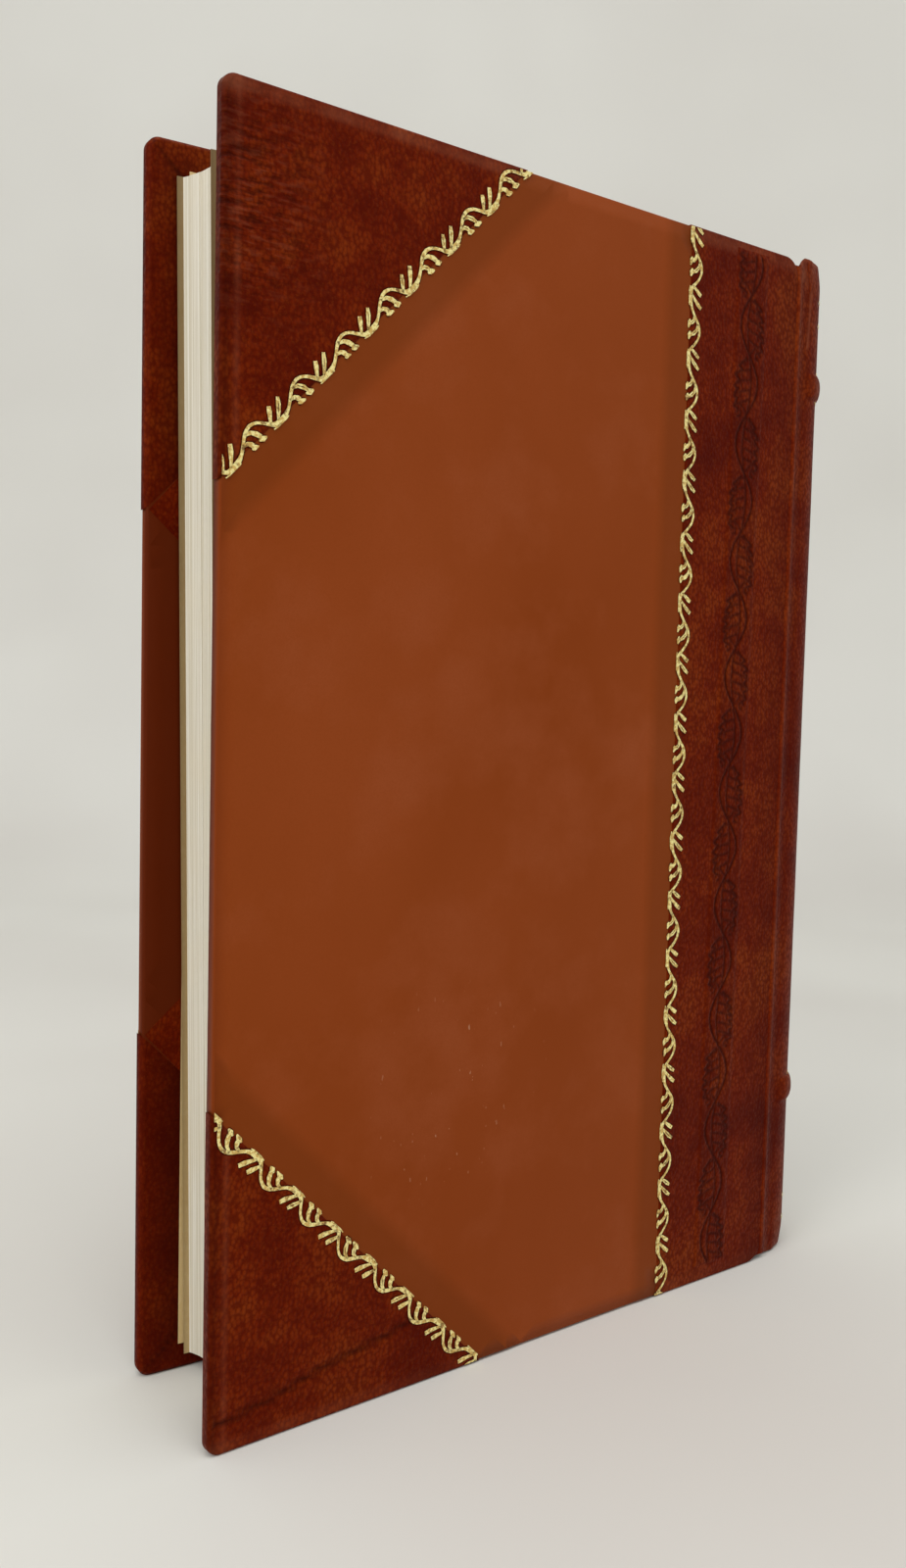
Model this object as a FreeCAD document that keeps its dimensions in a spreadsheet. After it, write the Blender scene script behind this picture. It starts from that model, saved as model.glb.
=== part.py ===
import FreeCAD, Part
import math
import os

import Sketcher

# A half-leather bound book of octavo size that stands on its tail edge, in millimetres.
# X runs from the fore edge to the spine, Z runs up, and the back cover lies on the -Y side.
# The origin is at the middle of the base. The front cover is shut and the back cover is ajar.

# Each row is a size's name, its value in millimetres (or degrees) and what it measures.
SIZES = [
    ("cover_height", 239.0, "cover from tail edge to head edge"),
    ("cover_reach", 151.0, "joint line to the cover's fore edge"),
    ("board_thickness", 2.1, "card board inside each cover"),
    ("leather_thickness", 0.6, "covering leather on the boards"),
    ("leather_pared", 0.2, "leather thinned where the siding laps it"),
    ("siding_thickness", 0.3, "siding cloth and all turn-ins"),
    ("siding_lap", 7.0, "leather that runs on under the siding"),
    ("turn_in", 15.0, "width of the turn-ins inside the covers"),
    ("strip_width", 37.0, "joint line to the siding on the spine side"),
    ("back_head_corner", 67.0, "leg of the back cover's head corner"),
    ("back_tail_corner", 62.5, "leg of the back cover's tail corner"),
    ("front_head_corner", 69.0, "leg of the front cover's head corner"),
    ("front_tail_corner", 69.0, "leg of the front cover's tail corner"),
    ("corner_round", 2.6, "rounding of the fore-edge corners"),
    ("joint_round", 4.5, "rounding of the cover's corners at the joint"),
    ("leather_edge_round", 0.8, "soft outer edge of the leather round a board"),
    ("turned_edge_bevel", 0.7, "bevel of the leather where it turns in"),
    ("siding_edge_round", 0.5, "soft edge of the siding round a board"),
    ("joint_gap", 0.3, "joint line to the end of cover or spine leather"),
    ("hinge_stand_off", 0.15, "hinge line outside the cover's outer face"),
    ("open_angle", 5.1, "degrees that the back cover stands open"),
    ("pastedown_thickness", 0.15, "endpaper pasted inside a cover"),
    ("pastedown_fore_margin", 8.2, "cover edge to pastedown at the fore edge"),
    ("pastedown_end_margin", 5.3, "cover edge to pastedown at head and tail"),
    ("cover_clearance", 0.3, "pastedown to flyleaf on a shut cover"),
    ("flyleaf_thickness", 0.2, "free endpaper"),
    ("flyleaf_overhang", 1.0, "free endpaper past the fore edge"),
    ("pages_thickness", 15.8, "text block between the free endpapers"),
    ("pages_height", 229.0, "text block from tail to head"),
    ("pages_lift", 5.7, "tail of the text block at the spine"),
    ("pages_sag", 2.5, "drop of the fore edge below the spine side"),
    ("pages_reach", 144.5, "joint line to the fore edge at the head"),
    ("pages_lean", 3.8, "how far the fore edge draws back at the tail"),
    ("fore_edge_hollow", 2.1, "hollow of the fore edge between its sides"),
    ("back_centre", 4.7, "joint line to the centre of the rounded back"),
    ("lining_thickness", 0.3, "cloth glued round the back of the pages"),
    ("hollow_space", 0.4, "hollow between lining and spine card"),
    ("card_thickness", 0.5, "card that stiffens the spine"),
    ("card_margin", 3.5, "end of the spine leather to the end of its card"),
    ("spine_leather_thickness", 0.65, "leather over the spine"),
    ("spine_turn_in", 12.0, "spine leather turned in at each end"),
    ("spine_lift", 0.3, "spine leather above the base"),
    ("headcap_rise", 1.5, "head cap above the cover's head edge"),
    ("headcap_bevel", 0.5, "bevelled rim of the head cap"),
    ("lining_glue", 0.05, "glue between the pages and their lining"),
    ("lining_margin", 6.0, "end of the pages to the end of the lining"),
    ("band_width", 4.6, "raised band along the spine"),
    ("band_proud", 1.0, "raised band above the rest of the spine"),
    ("band_bevel", 0.9, "bevel of the leather over a band"),
    ("head_band_drop", 27.5, "cover's head edge to the middle of the band near the head"),
    ("tail_band_level", 40.7, "middle of the raised band near the tail"),
    ("endband_diameter", 2.4, "rolled endband at head and tail"),
    ("endband_seat", 0.2, "slack of the tail endband below the sloping pages"),
    ("endband_inset", 1.5, "back of the pages to the endband's middle"),
    ("fillet_width", 0.5, "gold line across the spine"),
    ("fillet_offset", 0.4, "leather over a band to the gold line beside it"),
    ("fillet_span", 110.0, "degrees of the rounded back that a gold line crosses"),
    ("outer_fillet", 7.2, "cover end to the outer gold line of the pair"),
    ("inner_fillet", 12.7, "cover end to the inner gold line of the pair"),
    ("gold_thickness", 0.1, "gold tooling on the leather"),
    ("roll_pitch", 12.8, "one repeat of the gold vine"),
    ("roll_inset", 1.7, "siding's edge to the middle of the gold vine"),
    ("stem_swing", 1.2, "swing of the vine's stem from its middle"),
    ("stem_width", 0.65, "width of the vine's stem"),
    ("leaf_length", 2.3, "leaf of the vine along its own line"),
    ("leaf_width", 0.75, "leaf of the vine at its blunt tip"),
    ("roll_end_margin", 1.2, "gold vine to the end of its edge"),
]

PARTS_FOLDER = "parts"
FULL_TURN = 2.0 * math.pi
SHORT = 1e-9

# Lean of the vine's leaves, and where they spring from the stem as shares of a repeat.
LEAF_LEAN = math.radians(50)
LEAF_ROOTS = (0.06, 0.27)

# Sides of the outline that stands for the endband's round section.
ENDBAND_SIDES = 6

# Layers counted from the hinge line inwards through a cover, as expressions on the sheet.
LEATHER_FACE = "Sizes.hinge_stand_off"
BOARD_FACE = "(Sizes.hinge_stand_off + Sizes.leather_thickness)"
BOARD_BACK = "(" + BOARD_FACE + " + Sizes.board_thickness)"
COVER_BACK = "(" + BOARD_BACK + " + Sizes.siding_thickness)"
COVER_THICKNESS = "(Sizes.leather_thickness + Sizes.board_thickness + Sizes.siding_thickness)"

# Half of the book's thickness, from its middle plane to a hinge line.
HALF_PAGES = "(Sizes.pages_thickness / 2)"
HALF_BOOK = (
    "(" + HALF_PAGES + " + Sizes.flyleaf_thickness + Sizes.cover_clearance"
    " + Sizes.pastedown_thickness + " + COVER_BACK + ")"
)

# Radii of the layers round the back of the pages.
LINING_FACE = "(" + HALF_PAGES + " + Sizes.lining_thickness)"
CARD_BACK = "(" + LINING_FACE + " + Sizes.hollow_space)"
CARD_FACE = "(" + CARD_BACK + " + Sizes.card_thickness)"
SPINE_FACE = "(" + CARD_FACE + " + Sizes.spine_leather_thickness)"
BAND_FACE = "(" + CARD_FACE + " + Sizes.band_proud)"
SPINE_TOP = "(Sizes.cover_height + Sizes.headcap_rise)"

# Place of the hinge lines, which puts the origin at the middle of the base.
HINGE_X = "(Sizes.cover_reach - Sizes.back_centre - " + SPINE_FACE + " - Sizes.band_proud) / 2"
MIDDLE_Y = (
    "(Sizes.cover_reach * sin(Sizes.open_angle * 1 deg)"
    " + Sizes.hinge_stand_off * (1 - cos(Sizes.open_angle * 1 deg))) / 2"
)

doc = FreeCAD.newDocument("half_leather_book")
nodes = []


def make_sheet():
    """Write the driving sizes into the spreadsheet."""
    sheet = doc.addObject("Spreadsheet::Sheet", "Sizes")
    for row, (name, size, note) in enumerate(SIZES, start=1):
        sheet.set("A%d" % row, name)
        sheet.set("B%d" % row, str(size))
        sheet.set("C%d" % row, note)
        sheet.setAlias("B%d" % row, name)
    doc.recompute()
    return sheet


sheet = make_sheet()


def value(expression):
    """Work out an expression on the sheet as a plain number."""
    result = sheet.evalExpression(expression.replace("Sizes.", ""))
    return float(getattr(result, "Value", result))


def keep(node, label):
    """Name a finished sub-part and put it on the list of those to write."""
    node.Label = label
    nodes.append(node)
    return node


def new_body(label, place):
    """Start a body and set it in place."""
    body = doc.addObject("PartDesign::Body", label)
    place(body)
    return keep(body, label)


def place_in_book(item):
    """Local origin: on the joint line, at the middle of the book's thickness."""
    item.setExpression("Placement.Base.x", HINGE_X)
    item.setExpression("Placement.Base.y", MIDDLE_Y)


def place_on_back(item):
    """Local origin: on the back hinge line, X towards the fore edge, Y outwards."""
    turned = FreeCAD.Rotation(FreeCAD.Vector(0, 0, 1), 180)
    item.Placement = FreeCAD.Placement(FreeCAD.Vector(), turned)
    item.setExpression("Placement.Base.x", HINGE_X)
    item.setExpression("Placement.Base.y", MIDDLE_Y + " - " + HALF_BOOK)
    item.setExpression("Placement.Rotation.Angle", "180 + Sizes.open_angle")


def place_on_front(item):
    """Local origin: on the front hinge line, with the cover turned end for end."""
    turned = FreeCAD.Rotation(FreeCAD.Vector(0, 1, 0), 180)
    item.Placement = FreeCAD.Placement(FreeCAD.Vector(), turned)
    item.setExpression("Placement.Base.x", HINGE_X)
    item.setExpression("Placement.Base.y", MIDDLE_Y + " + " + HALF_BOOK)
    item.setExpression("Placement.Base.z", "Sizes.cover_height")


def origin_plane(body, role):
    """Find one of a body's own origin planes by its role."""
    return [item for item in body.Origin.OriginFeatures if item.Role == role][0]


def new_sketch(body, name, role, offset="0"):
    """Start a sketch on an origin plane, moved along the plane's normal."""
    sketch = body.newObject("Sketcher::SketchObject", name)
    sketch.AttachmentSupport = (origin_plane(body, role), [""])
    sketch.MapMode = "FlatFace"
    sketch.setExpression("AttachmentOffset.Base.z", offset)
    return sketch


def fix_point(sketch, geometry, end, x, y):
    """Tie one point of a sketch to two expressions, measured from the sketch's origin."""
    for kind, axis, expression in (("DistanceX", -2, x), ("DistanceY", -1, y)):
        size = value(expression)
        if abs(size) < SHORT:
            sketch.addConstraint(Sketcher.Constraint("PointOnObject", geometry, end, axis))
        elif size > 0:
            index = sketch.addConstraint(Sketcher.Constraint(kind, -1, 1, geometry, end, size))
            sketch.setExpression("Constraints[%d]" % index, expression)
        else:
            index = sketch.addConstraint(Sketcher.Constraint(kind, geometry, end, -1, 1, -size))
            sketch.setExpression("Constraints[%d]" % index, "-(" + expression + ")")


def arc_between(start, end, centre_x, turn):
    """Make the arc from start to end whose centre has the given X."""
    chord = end - start
    middle = (start + end) * 0.5
    across = FreeCAD.Vector(-chord.y, chord.x, 0)
    centre = middle + across * ((centre_x - middle.x) / across.x)
    first, last = (start, end) if turn > 0 else (end, start)
    angles = [math.atan2(point.y - centre.y, point.x - centre.x) for point in (first, last)]
    if angles[1] <= angles[0]:
        angles[1] += FULL_TURN
    circle = Part.Circle(centre, FreeCAD.Vector(0, 0, 1), (start - centre).Length)
    return Part.ArcOfCircle(circle, angles[0], angles[1])


def draw_outline(sketch, corners, arcs=None):
    """Draw a closed outline through corners given as pairs of expressions.

    arcs gives, for the side that leaves a corner, the X of its centre and its turn:
    1 for an arc drawn anticlockwise and -1 for one drawn clockwise.
    """
    arcs = arcs or {}
    points = [FreeCAD.Vector(value(x), value(y), 0) for x, y in corners]
    sides = []
    for index, start in enumerate(points):
        end = points[(index + 1) % len(points)]
        if index in arcs:
            centre_x, turn = arcs[index]
            side = sketch.addGeometry(arc_between(start, end, value(centre_x), turn), False)
            sides.append((side, 1, 2) if turn > 0 else (side, 2, 1))
        else:
            side = sketch.addGeometry(Part.LineSegment(start, end), False)
            sides.append((side, 1, 2))
    for index, (side, first, last) in enumerate(sides):
        before, _, before_last = sides[index - 1]
        joined = Sketcher.Constraint("Coincident", before, before_last, side, first)
        sketch.addConstraint(joined)
    for index, (side, first, last) in enumerate(sides):
        fix_point(sketch, side, first, *corners[index])
        if index in arcs:
            centre_x = arcs[index][0]
            size = value(centre_x)
            ends = (-1, 1, side, 3) if size > 0 else (side, 3, -1, 1)
            number = sketch.addConstraint(Sketcher.Constraint("DistanceX", *ends, abs(size)))
            sketch.setExpression("Constraints[%d]" % number, "abs(" + centre_x + ")")


def pad(body, sketch, length):
    """Raise a sketch along its normal."""
    feature = body.newObject("PartDesign::Pad", "pad_" + sketch.Name)
    feature.Profile = sketch
    feature.setExpression("Length", length)
    body.Tip = feature
    return feature


def pocket(body, sketch, length):
    """Cut a sketch into the body along the sketch's normal, and check that it cuts."""
    doc.recompute()
    before = body.Shape.Volume
    feature = body.newObject("PartDesign::Pocket", "pocket_" + sketch.Name)
    feature.Profile = sketch
    feature.Reversed = True
    feature.setExpression("Length", length)
    body.Tip = feature
    doc.recompute()
    if body.Shape.Volume >= before - SHORT:
        raise RuntimeError(feature.Name + " cuts nothing")
    return feature


def slab(body, name, outline, depth, thickness, cut=False, arcs=None):
    """Pad or cut an outline in the plane of a cover, at a depth below the hinge line."""
    sketch = new_sketch(body, name, "XZ_Plane", depth)
    draw_outline(sketch, outline, arcs)
    return pocket(body, sketch, thickness) if cut else pad(body, sketch, thickness)


def soften(body, size, test, bevel=False):
    """Round or bevel the edges of the body's latest shape that pass a test."""
    doc.recompute()
    base = body.Tip
    names = ["Edge%d" % (i + 1) for i, edge in enumerate(base.Shape.Edges) if test(edge)]
    kind = "Chamfer" if bevel else "Fillet"
    feature = body.newObject("PartDesign::" + kind, "soft_" + base.Name)
    feature.Base = (base, names)
    feature.setExpression("Size" if bevel else "Radius", size)
    body.Tip = feature
    doc.recompute()
    return feature


def along_depth(edge):
    """Tell whether an edge runs straight through the thickness of a cover."""
    direction = edge.Vertexes[-1].Point - edge.Vertexes[0].Point
    return abs(direction.x) < SHORT and abs(direction.z) < SHORT and abs(direction.y) > SHORT


def thickness_edge_at(*corners):
    """Test for the edges through the thickness that stand at given corners."""
    spots = [(value(x), value(z)) for x, z in corners]

    def test(edge):
        point = edge.Vertexes[0].Point
        near = [abs(point.x - x) < 0.01 and abs(point.z - z) < 0.01 for x, z in spots]
        return along_depth(edge) and any(near)

    return test


def rim_edge_at(depth, keep_in):
    """Test for the edges that lie flat at a given depth and whose middle is wanted."""
    level = -value(depth)

    def test(edge):
        box = edge.BoundBox
        flat = box.YLength < 0.001 and abs(box.YMin - level) < 0.001
        middle = edge.valueAt((edge.FirstParameter + edge.LastParameter) / 2)
        return flat and keep_in(middle.x, middle.z)

    return test


# Sub-parts of a cover. Z here is measured from the end of the cover called the low end.

def rectangle(left, right, low, high):
    """Corners of an upright rectangle, given as expressions."""
    return [(left, low), (right, low), (right, high), (left, high)]


def board_outline():
    """Outline of the bare board inside the leather."""
    edge = "Sizes.leather_thickness"
    return rectangle(
        "Sizes.joint_gap",
        "Sizes.cover_reach - " + edge,
        edge,
        "Sizes.cover_height - " + edge,
    )


def make_board(side, place):
    """The stiff card board, with its corners a little rounded."""
    body = new_body(side + "_board", place)
    outline = board_outline()
    slab(body, side + "_board_outline", outline, BOARD_FACE, "Sizes.board_thickness")
    fore = thickness_edge_at(outline[1], outline[2])
    soften(body, "Sizes.corner_round - Sizes.leather_thickness", fore)
    joint = thickness_edge_at(outline[0], outline[3])
    soften(body, "Sizes.joint_round - Sizes.leather_thickness", joint)


def mirror_up(outline, at_high_end):
    """Turn an outline drawn from the low end into one drawn from the high end."""
    if not at_high_end:
        return outline
    return [(x, "Sizes.cover_height - (" + z + ")") for x, z in reversed(outline)]


def board_corner(left, top):
    """Outline of the board's rounded fore-edge corner at the low end, and its one arc."""
    edge = "Sizes.leather_thickness"
    fore = "Sizes.cover_reach - " + edge
    rounding = "(Sizes.corner_round - " + edge + ")"
    outline = [
        (left, edge),
        (fore + " - " + rounding, edge),
        (fore, edge + " + " + rounding),
        (fore, top),
    ]
    return outline, fore + " - " + rounding


def make_corner(side, end, leg, at_high_end, place):
    """Leather over a fore-edge corner, turned in all round and pared under the siding."""
    body = new_body("%s_%s_corner" % (side, end), place)
    name = "%s_%s_corner_" % (side, end)
    reach = "Sizes.cover_reach"
    lap = "(" + leg + " + Sizes.siding_lap * sqrt(2))"
    whole = [(reach + " - " + leg, "0"), (reach, "0"), (reach, leg)]
    edge = "Sizes.leather_thickness"
    under, arc_centre = board_corner(reach + " - " + lap + " + " + edge, lap + " - " + edge)
    space, _ = board_corner(reach + " - " + lap + " - 1", lap + " + 1")
    space.append((reach + " - " + lap + " - 1", lap + " + 1"))
    window = [
        (reach + " - " + leg + " - 1", "Sizes.turn_in"),
        (reach + " - Sizes.turn_in", "Sizes.turn_in"),
        (reach + " - Sizes.turn_in", leg + " + 1"),
        (reach + " - " + leg + " - 1", leg + " + 1"),
    ]
    whole, under, space, window = [
        mirror_up(outline, at_high_end) for outline in (whole, under, space, window)
    ]
    slab(body, name + "whole", whole, LEATHER_FACE, COVER_THICKNESS)
    soften(body, "Sizes.corner_round", thickness_edge_at(whole[1]))
    low_z = value("Sizes.cover_height / 2")

    def outer_rim(x, z):
        from_end = 2 * low_z - z if at_high_end else z
        on_end = from_end < value("Sizes.corner_round")
        on_fore = x > value("Sizes.cover_reach - Sizes.corner_round")
        return on_end or on_fore

    soften(body, "Sizes.leather_edge_round", rim_edge_at(LEATHER_FACE, outer_rim))
    soften(body, "Sizes.turned_edge_bevel", rim_edge_at(COVER_BACK, outer_rim), bevel=True)
    pared_depth = "(" + BOARD_FACE + " - Sizes.leather_pared)"
    arcs = [{(len(outline) - 3 if at_high_end else 1): (arc_centre, 1)} for outline in (under, space)]
    slab(body, name + "pared", under, pared_depth, "Sizes.leather_pared", arcs=arcs[0])
    board = "Sizes.board_thickness"
    slab(body, name + "board_space", space, BOARD_FACE, board, cut=True, arcs=arcs[1])
    slab(body, name + "window", window, BOARD_BACK, "Sizes.siding_thickness", cut=True)


def make_strip(side, place):
    """Spine leather carried on over a cover, turned in at both ends and pared at its edge."""
    body = new_body(side + "_spine_strip", place)
    name = side + "_strip_"
    high = "Sizes.cover_height"
    edge = "Sizes.leather_thickness"
    start = "Sizes.joint_gap"
    stop = "Sizes.strip_width"
    lap = "(Sizes.strip_width + Sizes.siding_lap)"
    whole = rectangle(start, stop, "0", high)
    slab(body, name + "whole", whole, LEATHER_FACE, COVER_THICKNESS)
    soften(body, "Sizes.joint_round", thickness_edge_at(whole[0], whole[3]))

    def end_rim(x, z):
        return min(z, value(high) - z) < value("Sizes.joint_round")

    soften(body, "Sizes.leather_edge_round", rim_edge_at(LEATHER_FACE, end_rim))
    soften(body, "Sizes.turned_edge_bevel", rim_edge_at(COVER_BACK, end_rim), bevel=True)
    under = rectangle(start + " + Sizes.joint_round", lap, edge, high + " - " + edge)
    pared_depth = "(" + BOARD_FACE + " - Sizes.leather_pared)"
    slab(body, name + "pared", under, pared_depth, "Sizes.leather_pared")
    space = rectangle(start, lap + " + 1", edge, high + " - " + edge)
    slab(body, name + "board_space", space, BOARD_FACE, "Sizes.board_thickness", cut=True)
    window = rectangle(start, stop + " + 1", "Sizes.turn_in", high + " - Sizes.turn_in")
    slab(body, name + "window", window, BOARD_BACK, "Sizes.siding_thickness", cut=True)


def siding_outline(low_leg, high_leg, inset, lap, end_edge, fore_edge):
    """Six-sided outline of the siding, drawn in from the leather's edges by a lap."""
    reach = "Sizes.cover_reach"
    high = "Sizes.cover_height"
    low = "(" + low_leg + " + " + lap + " * sqrt(2))"
    top = "(" + high_leg + " + " + lap + " * sqrt(2))"
    return [
        ("Sizes.strip_width + " + inset, end_edge),
        (reach + " - " + low + " + " + end_edge, end_edge),
        (reach + " - " + fore_edge, low + " - " + fore_edge),
        (reach + " - " + fore_edge, high + " - " + top + " + " + fore_edge),
        (reach + " - " + top + " + " + end_edge, high + " - " + end_edge),
        ("Sizes.strip_width + " + inset, high + " - " + end_edge),
    ]


def make_siding(side, low_leg, high_leg, place):
    """Siding cloth: wraps the board, steps up over the pared leather and is turned in."""
    body = new_body(side + "_siding", place)
    name = side + "_siding_"
    edge = "(Sizes.leather_thickness - Sizes.siding_thickness)"
    whole = siding_outline(low_leg, high_leg, "0", "0", edge, edge)
    field = siding_outline(low_leg, high_leg, "Sizes.siding_lap", "Sizes.siding_lap", "0", "0")
    whole_depth = "(" + BOARD_FACE + " - Sizes.siding_thickness)"
    whole_thickness = "(Sizes.board_thickness + 2 * Sizes.siding_thickness)"
    slab(body, name + "whole", whole, whole_depth, whole_thickness)

    def outer_rim(x, z):
        near_end = min(z, value("Sizes.cover_height") - z) < value(edge) + 0.01
        near_fore = x > value("Sizes.cover_reach - " + edge) - 0.01
        return near_end or near_fore

    soften(body, "Sizes.siding_edge_round", rim_edge_at(whole_depth, outer_rim))
    soften(body, "Sizes.siding_edge_round", rim_edge_at(COVER_BACK, outer_rim), bevel=True)
    board = "Sizes.leather_thickness"
    raised = siding_outline(low_leg, high_leg, "0", "0", board, board)
    inner = siding_outline(low_leg, high_leg, "Sizes.siding_lap", "Sizes.siding_lap", board, board)
    step_depth = "(" + whole_depth + " - Sizes.leather_pared)"
    slab(body, name + "step", raised, step_depth, "Sizes.siding_thickness")
    slab(body, name + "field", field, step_depth, "Sizes.leather_pared", cut=True)
    pared_depth = "(" + BOARD_FACE + " - Sizes.leather_pared)"
    lap_rings = lap_spaces(raised, inner)
    for index, ring in enumerate(lap_rings):
        slab(body, name + "lap_%d" % index, ring, pared_depth, "Sizes.leather_pared", cut=True)
    space = rectangle("0", "Sizes.cover_reach - " + board, board, "Sizes.cover_height - " + board)
    slab(body, name + "board_space", space, BOARD_FACE, "Sizes.board_thickness", cut=True)
    window = rectangle(
        "0",
        "Sizes.cover_reach - Sizes.turn_in",
        "Sizes.turn_in",
        "Sizes.cover_height - Sizes.turn_in",
    )
    slab(body, name + "window", window, BOARD_BACK, "Sizes.siding_thickness", cut=True)


def lap_spaces(outer, inner):
    """Outlines of the strips between two six-sided outlines where leather lies beneath."""
    spine_side = [outer[0], inner[0], inner[5], outer[5]]
    low_corner = [outer[1], outer[2], inner[2], inner[1]]
    high_corner = [outer[3], outer[4], inner[4], inner[3]]
    return [spine_side, low_corner, high_corner]


def make_pastedown(side, place):
    """Endpaper pasted over the turn-ins, stepping down onto the bare board between them."""
    body = new_body(side + "_pastedown", place)
    name = side + "_pastedown_"
    margin = "Sizes.pastedown_end_margin"
    whole = rectangle(
        "Sizes.joint_gap",
        "Sizes.cover_reach - Sizes.pastedown_fore_margin",
        margin,
        "Sizes.cover_height - " + margin,
    )
    inside = rectangle(
        "Sizes.joint_gap",
        "Sizes.cover_reach - Sizes.turn_in",
        "Sizes.turn_in",
        "Sizes.cover_height - Sizes.turn_in",
    )
    paper = "Sizes.pastedown_thickness"
    dip = rectangle(
        "Sizes.joint_gap",
        "Sizes.cover_reach - Sizes.turn_in - " + paper,
        "Sizes.turn_in + " + paper,
        "Sizes.cover_height - Sizes.turn_in - " + paper,
    )
    slab(body, name + "whole", whole, COVER_BACK, paper)
    slab(body, name + "inside", inside, BOARD_BACK, "Sizes.siding_thickness")
    dip_depth = "(" + BOARD_BACK + " + " + paper + ")"
    slab(body, name + "dip", dip, dip_depth, "Sizes.siding_thickness", cut=True)


def turned_sketch(body, name, start, angle, depth):
    """Start a sketch on a cover's face whose X runs along a line of tooling."""
    sketch = new_sketch(body, name, "XZ_Plane", depth)
    turned = FreeCAD.Rotation(FreeCAD.Vector(0, 0, 1), angle)
    sketch.AttachmentOffset = FreeCAD.Placement(FreeCAD.Vector(), turned)
    sketch.setExpression("AttachmentOffset.Base.x", start[0])
    sketch.setExpression("AttachmentOffset.Base.y", start[1])
    return sketch


def leaf_outline(root_x, root_y, side, lean):
    """Outline of a leaf that springs from the stem and widens to a blunt tip."""
    along = "Sizes.leaf_length * %.3f" % (math.cos(lean))
    across = "Sizes.leaf_length * %.3f" % (math.sin(lean) * side)
    half_x = "Sizes.leaf_width * %.3f" % (math.sin(lean) / 2)
    half_y = "Sizes.leaf_width * %.3f" % (math.cos(lean) * side / 2)
    narrow = "0.4"
    return [
        (root_x + " + " + half_x + " * " + narrow, root_y + " - " + half_y + " * " + narrow),
        (root_x + " + " + along + " + " + half_x, root_y + " + " + across + " - " + half_y),
        (root_x + " + " + along + " - " + half_x, root_y + " + " + across + " + " + half_y),
        (root_x + " - " + half_x + " * " + narrow, root_y + " + " + half_y + " * " + narrow),
    ]


def make_roll(side, end, start, angle, length, place):
    """Gold vine roll: a waving stem with pairs of leaves, repeated along one edge."""
    body = new_body("%s_gold_roll_%s" % (side, end), place)
    name = "%s_roll_%s_" % (side, end)
    count = "round(" + length + " / Sizes.roll_pitch)"
    pitch = "(" + length + " / " + count + ")"
    depth = "(" + LEATHER_FACE + " - Sizes.gold_thickness)"
    half = "(" + pitch + " / 2)"
    thick = "(Sizes.stem_width / 2)"
    bow = "(Sizes.stem_swing + " + thick + ")"
    dip = "(Sizes.stem_swing - " + thick + ")"
    features = []
    for wave, (first, swing) in enumerate((("0", 1), (half, -1))):
        stem = turned_sketch(body, name + "stem_%d" % wave, start, angle, depth)
        low, high = (thick, bow) if swing > 0 else ("-" + thick, "-" + bow)
        under = dip if swing > 0 else "-" + dip
        outline = [
            (first, "-(" + low + ")"),
            (first + " + " + pitch + " * 0.25", under),
            (first + " + " + half, "-(" + low + ")"),
            (first + " + " + half, low),
            (first + " + " + pitch + " * 0.25", high),
            (first, low),
        ]
        draw_outline(stem, outline)
        features.append(pad(body, stem, "Sizes.gold_thickness"))
        for index, share in enumerate(LEAF_ROOTS):
            leaf = turned_sketch(body, name + "leaf_%d_%d" % (wave, index), start, angle, depth)
            root_x = "(" + first + " + " + pitch + " * %.2f)" % share
            root_y = "(Sizes.stem_swing * %.3f)" % (swing * math.sin(share * FULL_TURN) * 0.5)
            draw_outline(leaf, leaf_outline(root_x, root_y, -swing, LEAF_LEAN))
            features.append(pad(body, leaf, "Sizes.gold_thickness"))
    doc.recompute()
    repeat = body.newObject("PartDesign::LinearPattern", name + "repeat")
    repeat.Originals = features
    repeat.Direction = (features[0].Profile[0], ["H_Axis"])
    repeat.Mode = "Spacing"
    repeat.setExpression("Offset", pitch)
    repeat.setExpression("Occurrences", count)
    body.Tip = repeat
    doc.recompute()


def make_cover(side, low_end, high_end, low_leg, high_leg, place):
    """Every sub-part of one cover."""
    make_board(side, place)
    make_strip(side, place)
    make_siding(side, low_leg, high_leg, place)
    make_corner(side, low_end, low_leg, False, place)
    make_corner(side, high_end, high_leg, True, place)
    make_pastedown(side, place)
    margin = "Sizes.roll_end_margin"
    upright = "(Sizes.cover_height - 2 * " + margin + ")"
    spine_start = ("Sizes.strip_width - Sizes.roll_inset", margin)
    make_roll(side, "spine", spine_start, 90, upright, place)
    inset = "Sizes.roll_inset * sqrt(2)"
    along = margin + " / sqrt(2)"
    low_line = "(" + low_leg + " - " + inset + ")"
    low_start = ("Sizes.cover_reach - " + low_line + " + " + along, along)
    low_length = "(" + low_line + " * sqrt(2) - 2 * " + margin + ")"
    make_roll(side, low_end, low_start, 45, low_length, place)
    high_line = "(" + high_leg + " - " + inset + ")"
    high_start = (
        "Sizes.cover_reach - " + along,
        "Sizes.cover_height - " + high_line + " + " + along,
    )
    high_length = "(" + high_line + " * sqrt(2) - 2 * " + margin + ")"
    make_roll(side, high_end, high_start, 135, high_length, place)


# Sub-parts of the text block.

def block_plan(level_reach, hollow_centre):
    """Plan of the text block: straight sides, rounded back and hollow fore edge."""
    corners = [
        ("-(" + level_reach + ")", "-" + HALF_PAGES),
        ("Sizes.back_centre", "-" + HALF_PAGES),
        ("Sizes.back_centre", HALF_PAGES),
        ("-(" + level_reach + ")", HALF_PAGES),
    ]
    arcs = {1: ("Sizes.back_centre", 1), 3: (hollow_centre, -1)}
    return corners, arcs


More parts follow.
